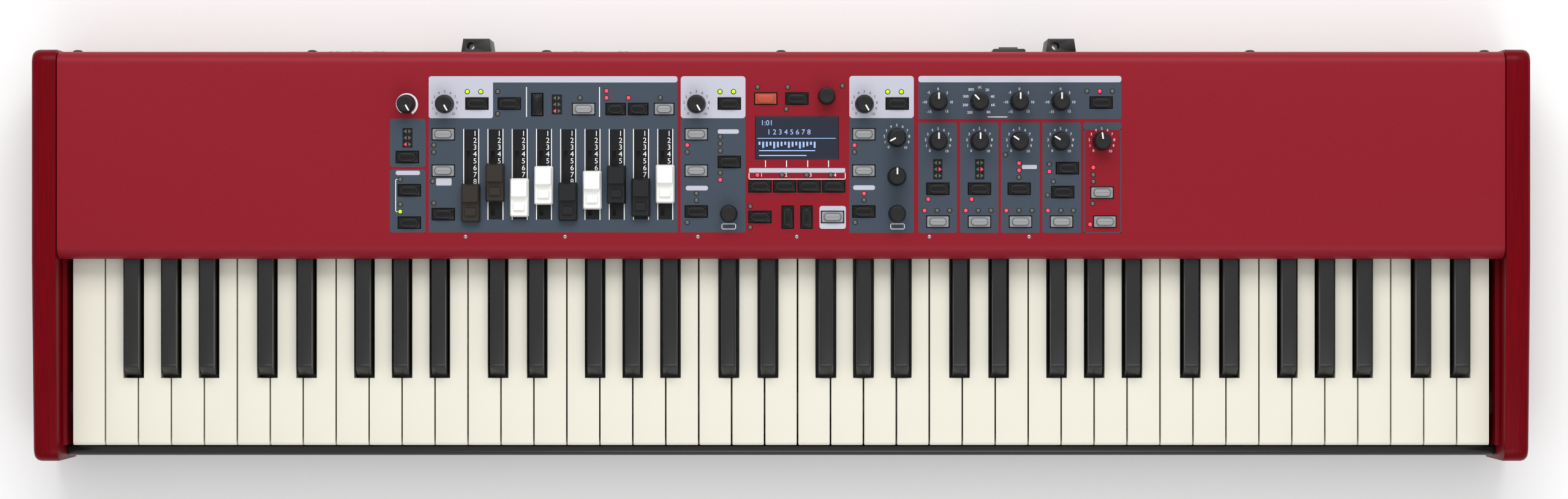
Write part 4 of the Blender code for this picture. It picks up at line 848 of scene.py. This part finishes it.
ARROW_ROWS = 3
ARROW_WINDOWS = ((665.3, 225.1, (2, -1)), (909.2, 170.6, (2, -1)), (1531.1, 276.4, (1, 1)),
                 (1599.5, 276.4, (1, 1)))
ARROW_ROW_PITCH = 10.6
ARROW_TIP, ARROW_BASE, ARROW_HALF_HEIGHT = 6.2, 1.4, 3.4
arrows = {"unlit_arrow_lamps": [], "red_arrow_lamps": []}
for across, down, lit in ARROW_WINDOWS:
    for row in range(ARROW_ROWS):
        for side in (-1, 1):
            kind = "red_arrow_lamps" if (row, side) == lit else "unlit_arrow_lamps"
            y = down + (row - 1) * ARROW_ROW_PITCH
            tip, base = across + side * ARROW_TIP, across + side * ARROW_BASE
            arrows[kind].append([(tip, y), (base, y - ARROW_HALF_HEIGHT), (base, y + ARROW_HALF_HEIGHT)])
for kind, outlines in arrows.items():
    outlines = [[from_photo(*point) for point in outline] for outline in outlines]
    mesh = sheet_mesh(kind, outlines, PANEL_TOP + 4 * INK, PANEL_TOP + 6 * INK)
    link(kind, mesh, red_lens if kind.startswith("red") else clear_lens, "chassis")

# The display is a dark blue glass, with pale figures, bars and lines that stand for its content.

display_glass = moulded("display_glass", "#141C30", 0.12, grain_mm=2.0, bump_mm=0.0, mottle=0.02)
soften("display_window", 0.2, display_glass)
display_ink = moulded("lit_display_figures", "#8FA8D0", 0.5, grain_mm=0.8, bump_mm=0.0,
                      Emission_Color=linear("#8FA8D0"), Emission_Strength=0.3)
PAGE_FIGURES_PLACE, ROW_FIGURES_PLACE = (1252, 201), (1288, 216)
DISPLAY_FIGURE_SIZE = 5.2
RULE = (1237, 226, 1364, 226)
BAR_FIRST, BAR_PITCH, BAR_TOP, BAR_LEAST, BAR_WIDTH, BARS = 1240, 6, 233, 2, 3.0, 16
TEXT_RULES = ((1240, 246, 1330, 246), (1240, 254, 1316, 254))
display_entries = [("1:01", from_photo(*PAGE_FIGURES_PLACE), DISPLAY_FIGURE_SIZE),
                   ("1 2 3 4 5 6 7 8", from_photo(*ROW_FIGURES_PLACE), DISPLAY_FIGURE_SIZE)]
print_figures("display_figures", display_entries, display_ink, layer=1)
display_bars = [line(*RULE, 1.0)]
for step in range(BARS):
    x = BAR_FIRST + BAR_PITCH * step
    display_bars.append(line(x, BAR_TOP, x, BAR_TOP + BAR_LEAST + (step * 5) % 7, BAR_WIDTH))
display_bars += [line(*ends, 1.6) for ends in TEXT_RULES]
print_lines("display_bars", display_bars, display_ink, 1)

# The panel is held by six small plated screws along its front and seven black pan-head screws in its rear
# skirt.

plated_steel = moulded("plated_steel", "#A8A6A0", 0.3, grain_mm=0.5, bump_mm=0.005, Metallic=1.0)
blackened_steel = moulded("blackened_steel", "#1A1A1C", 0.35, grain_mm=0.5, bump_mm=0.005, Metallic=0.6)
PANEL_SCREW_COLUMNS = (760, 922.4, 1139.3, 1300.8, 1517.4, 1680.2)
PANEL_SCREW_ROW = 386.7
PANEL_SCREW_RADIUS = 1.4
SCREW_PROFILE = ((1.0, 0.0), (1.0, 0.15), (0.85, 0.35), (0.5, 0.42), (0.35, 0.42), (0.3, 0.1), (0.05, 0.1))
panel_screw_places = [(x, PANEL_SCREW_ROW) for x in PANEL_SCREW_COLUMNS]
lamp_piece("panel_screws", panel_screw_places, PANEL_SCREW_RADIUS, SCREW_PROFILE, plated_steel, sides=18)

REAR_SCREWS = 7
REAR_SCREW_PITCH = 167.5
REAR_SCREW_HEIGHT = 55.0
REAR_SCREW_RADIUS = 3.75
PAN_HEAD_PROFILE = ((1.0, 0.0), (1.0, 0.8), (0.92, 1.5), (0.7, 2.1), (0.4, 2.35), (0.36, 1.2), (0.05, 1.2))
joined = bmesh.new()
for number in range(REAR_SCREWS):
    middle = Vector(((number - (REAR_SCREWS - 1) / 2) * REAR_SCREW_PITCH * MM, REAR_SCREW_HEIGHT * MM))
    rings = []
    for share, rise in PAN_HEAD_PROFILE:
        angles = [math.pi * side / 12 for side in range(24)]
        reach = REAR_SCREW_RADIUS * share * MM
        rings.append(([(middle.x - reach * math.cos(angle), middle.y + reach * math.sin(angle))
                       for angle in angles], rise * MM))
    loft(joined, rings)
stand_up = Matrix(((1, 0, 0, 0), (0, 0, 1, PANEL_REAR), (0, 1, 0, 0), (0, 0, 0, 1)))
joined.transform(stand_up)
bmesh.ops.recalc_face_normals(joined, faces=joined.faces)
mesh = bpy.data.meshes.new("rear_screws")
joined.to_mesh(mesh)
joined.free()
mesh.shade_smooth()
mesh.set_sharp_from_angle(angle=math.radians(40))
link("rear_screws", mesh, blackened_steel, "chassis")

# The rear carries moulded nylon stand sockets, nickel-plated sockets on their board, and the mains inlet.

black_nylon = moulded("black_nylon", "#1C1C1E", 0.45, grain_mm=0.5, bump_mm=0.02)
for node in ("left_stand_socket", "right_stand_socket"):
    soften(node, 0.5, black_nylon)
nickel_plate = moulded("nickel_plated_sockets", "#9A9A9C", 0.32, grain_mm=0.6, bump_mm=0.004, Metallic=0.8)
soften("connector_board", 0.15, nickel_plate)
soften("power_inlet", 0.3, black_nylon)
soften("power_switch", 0.3, moulded("black_switch_nylon", "#101012", 0.35, grain_mm=0.5, bump_mm=0.01))
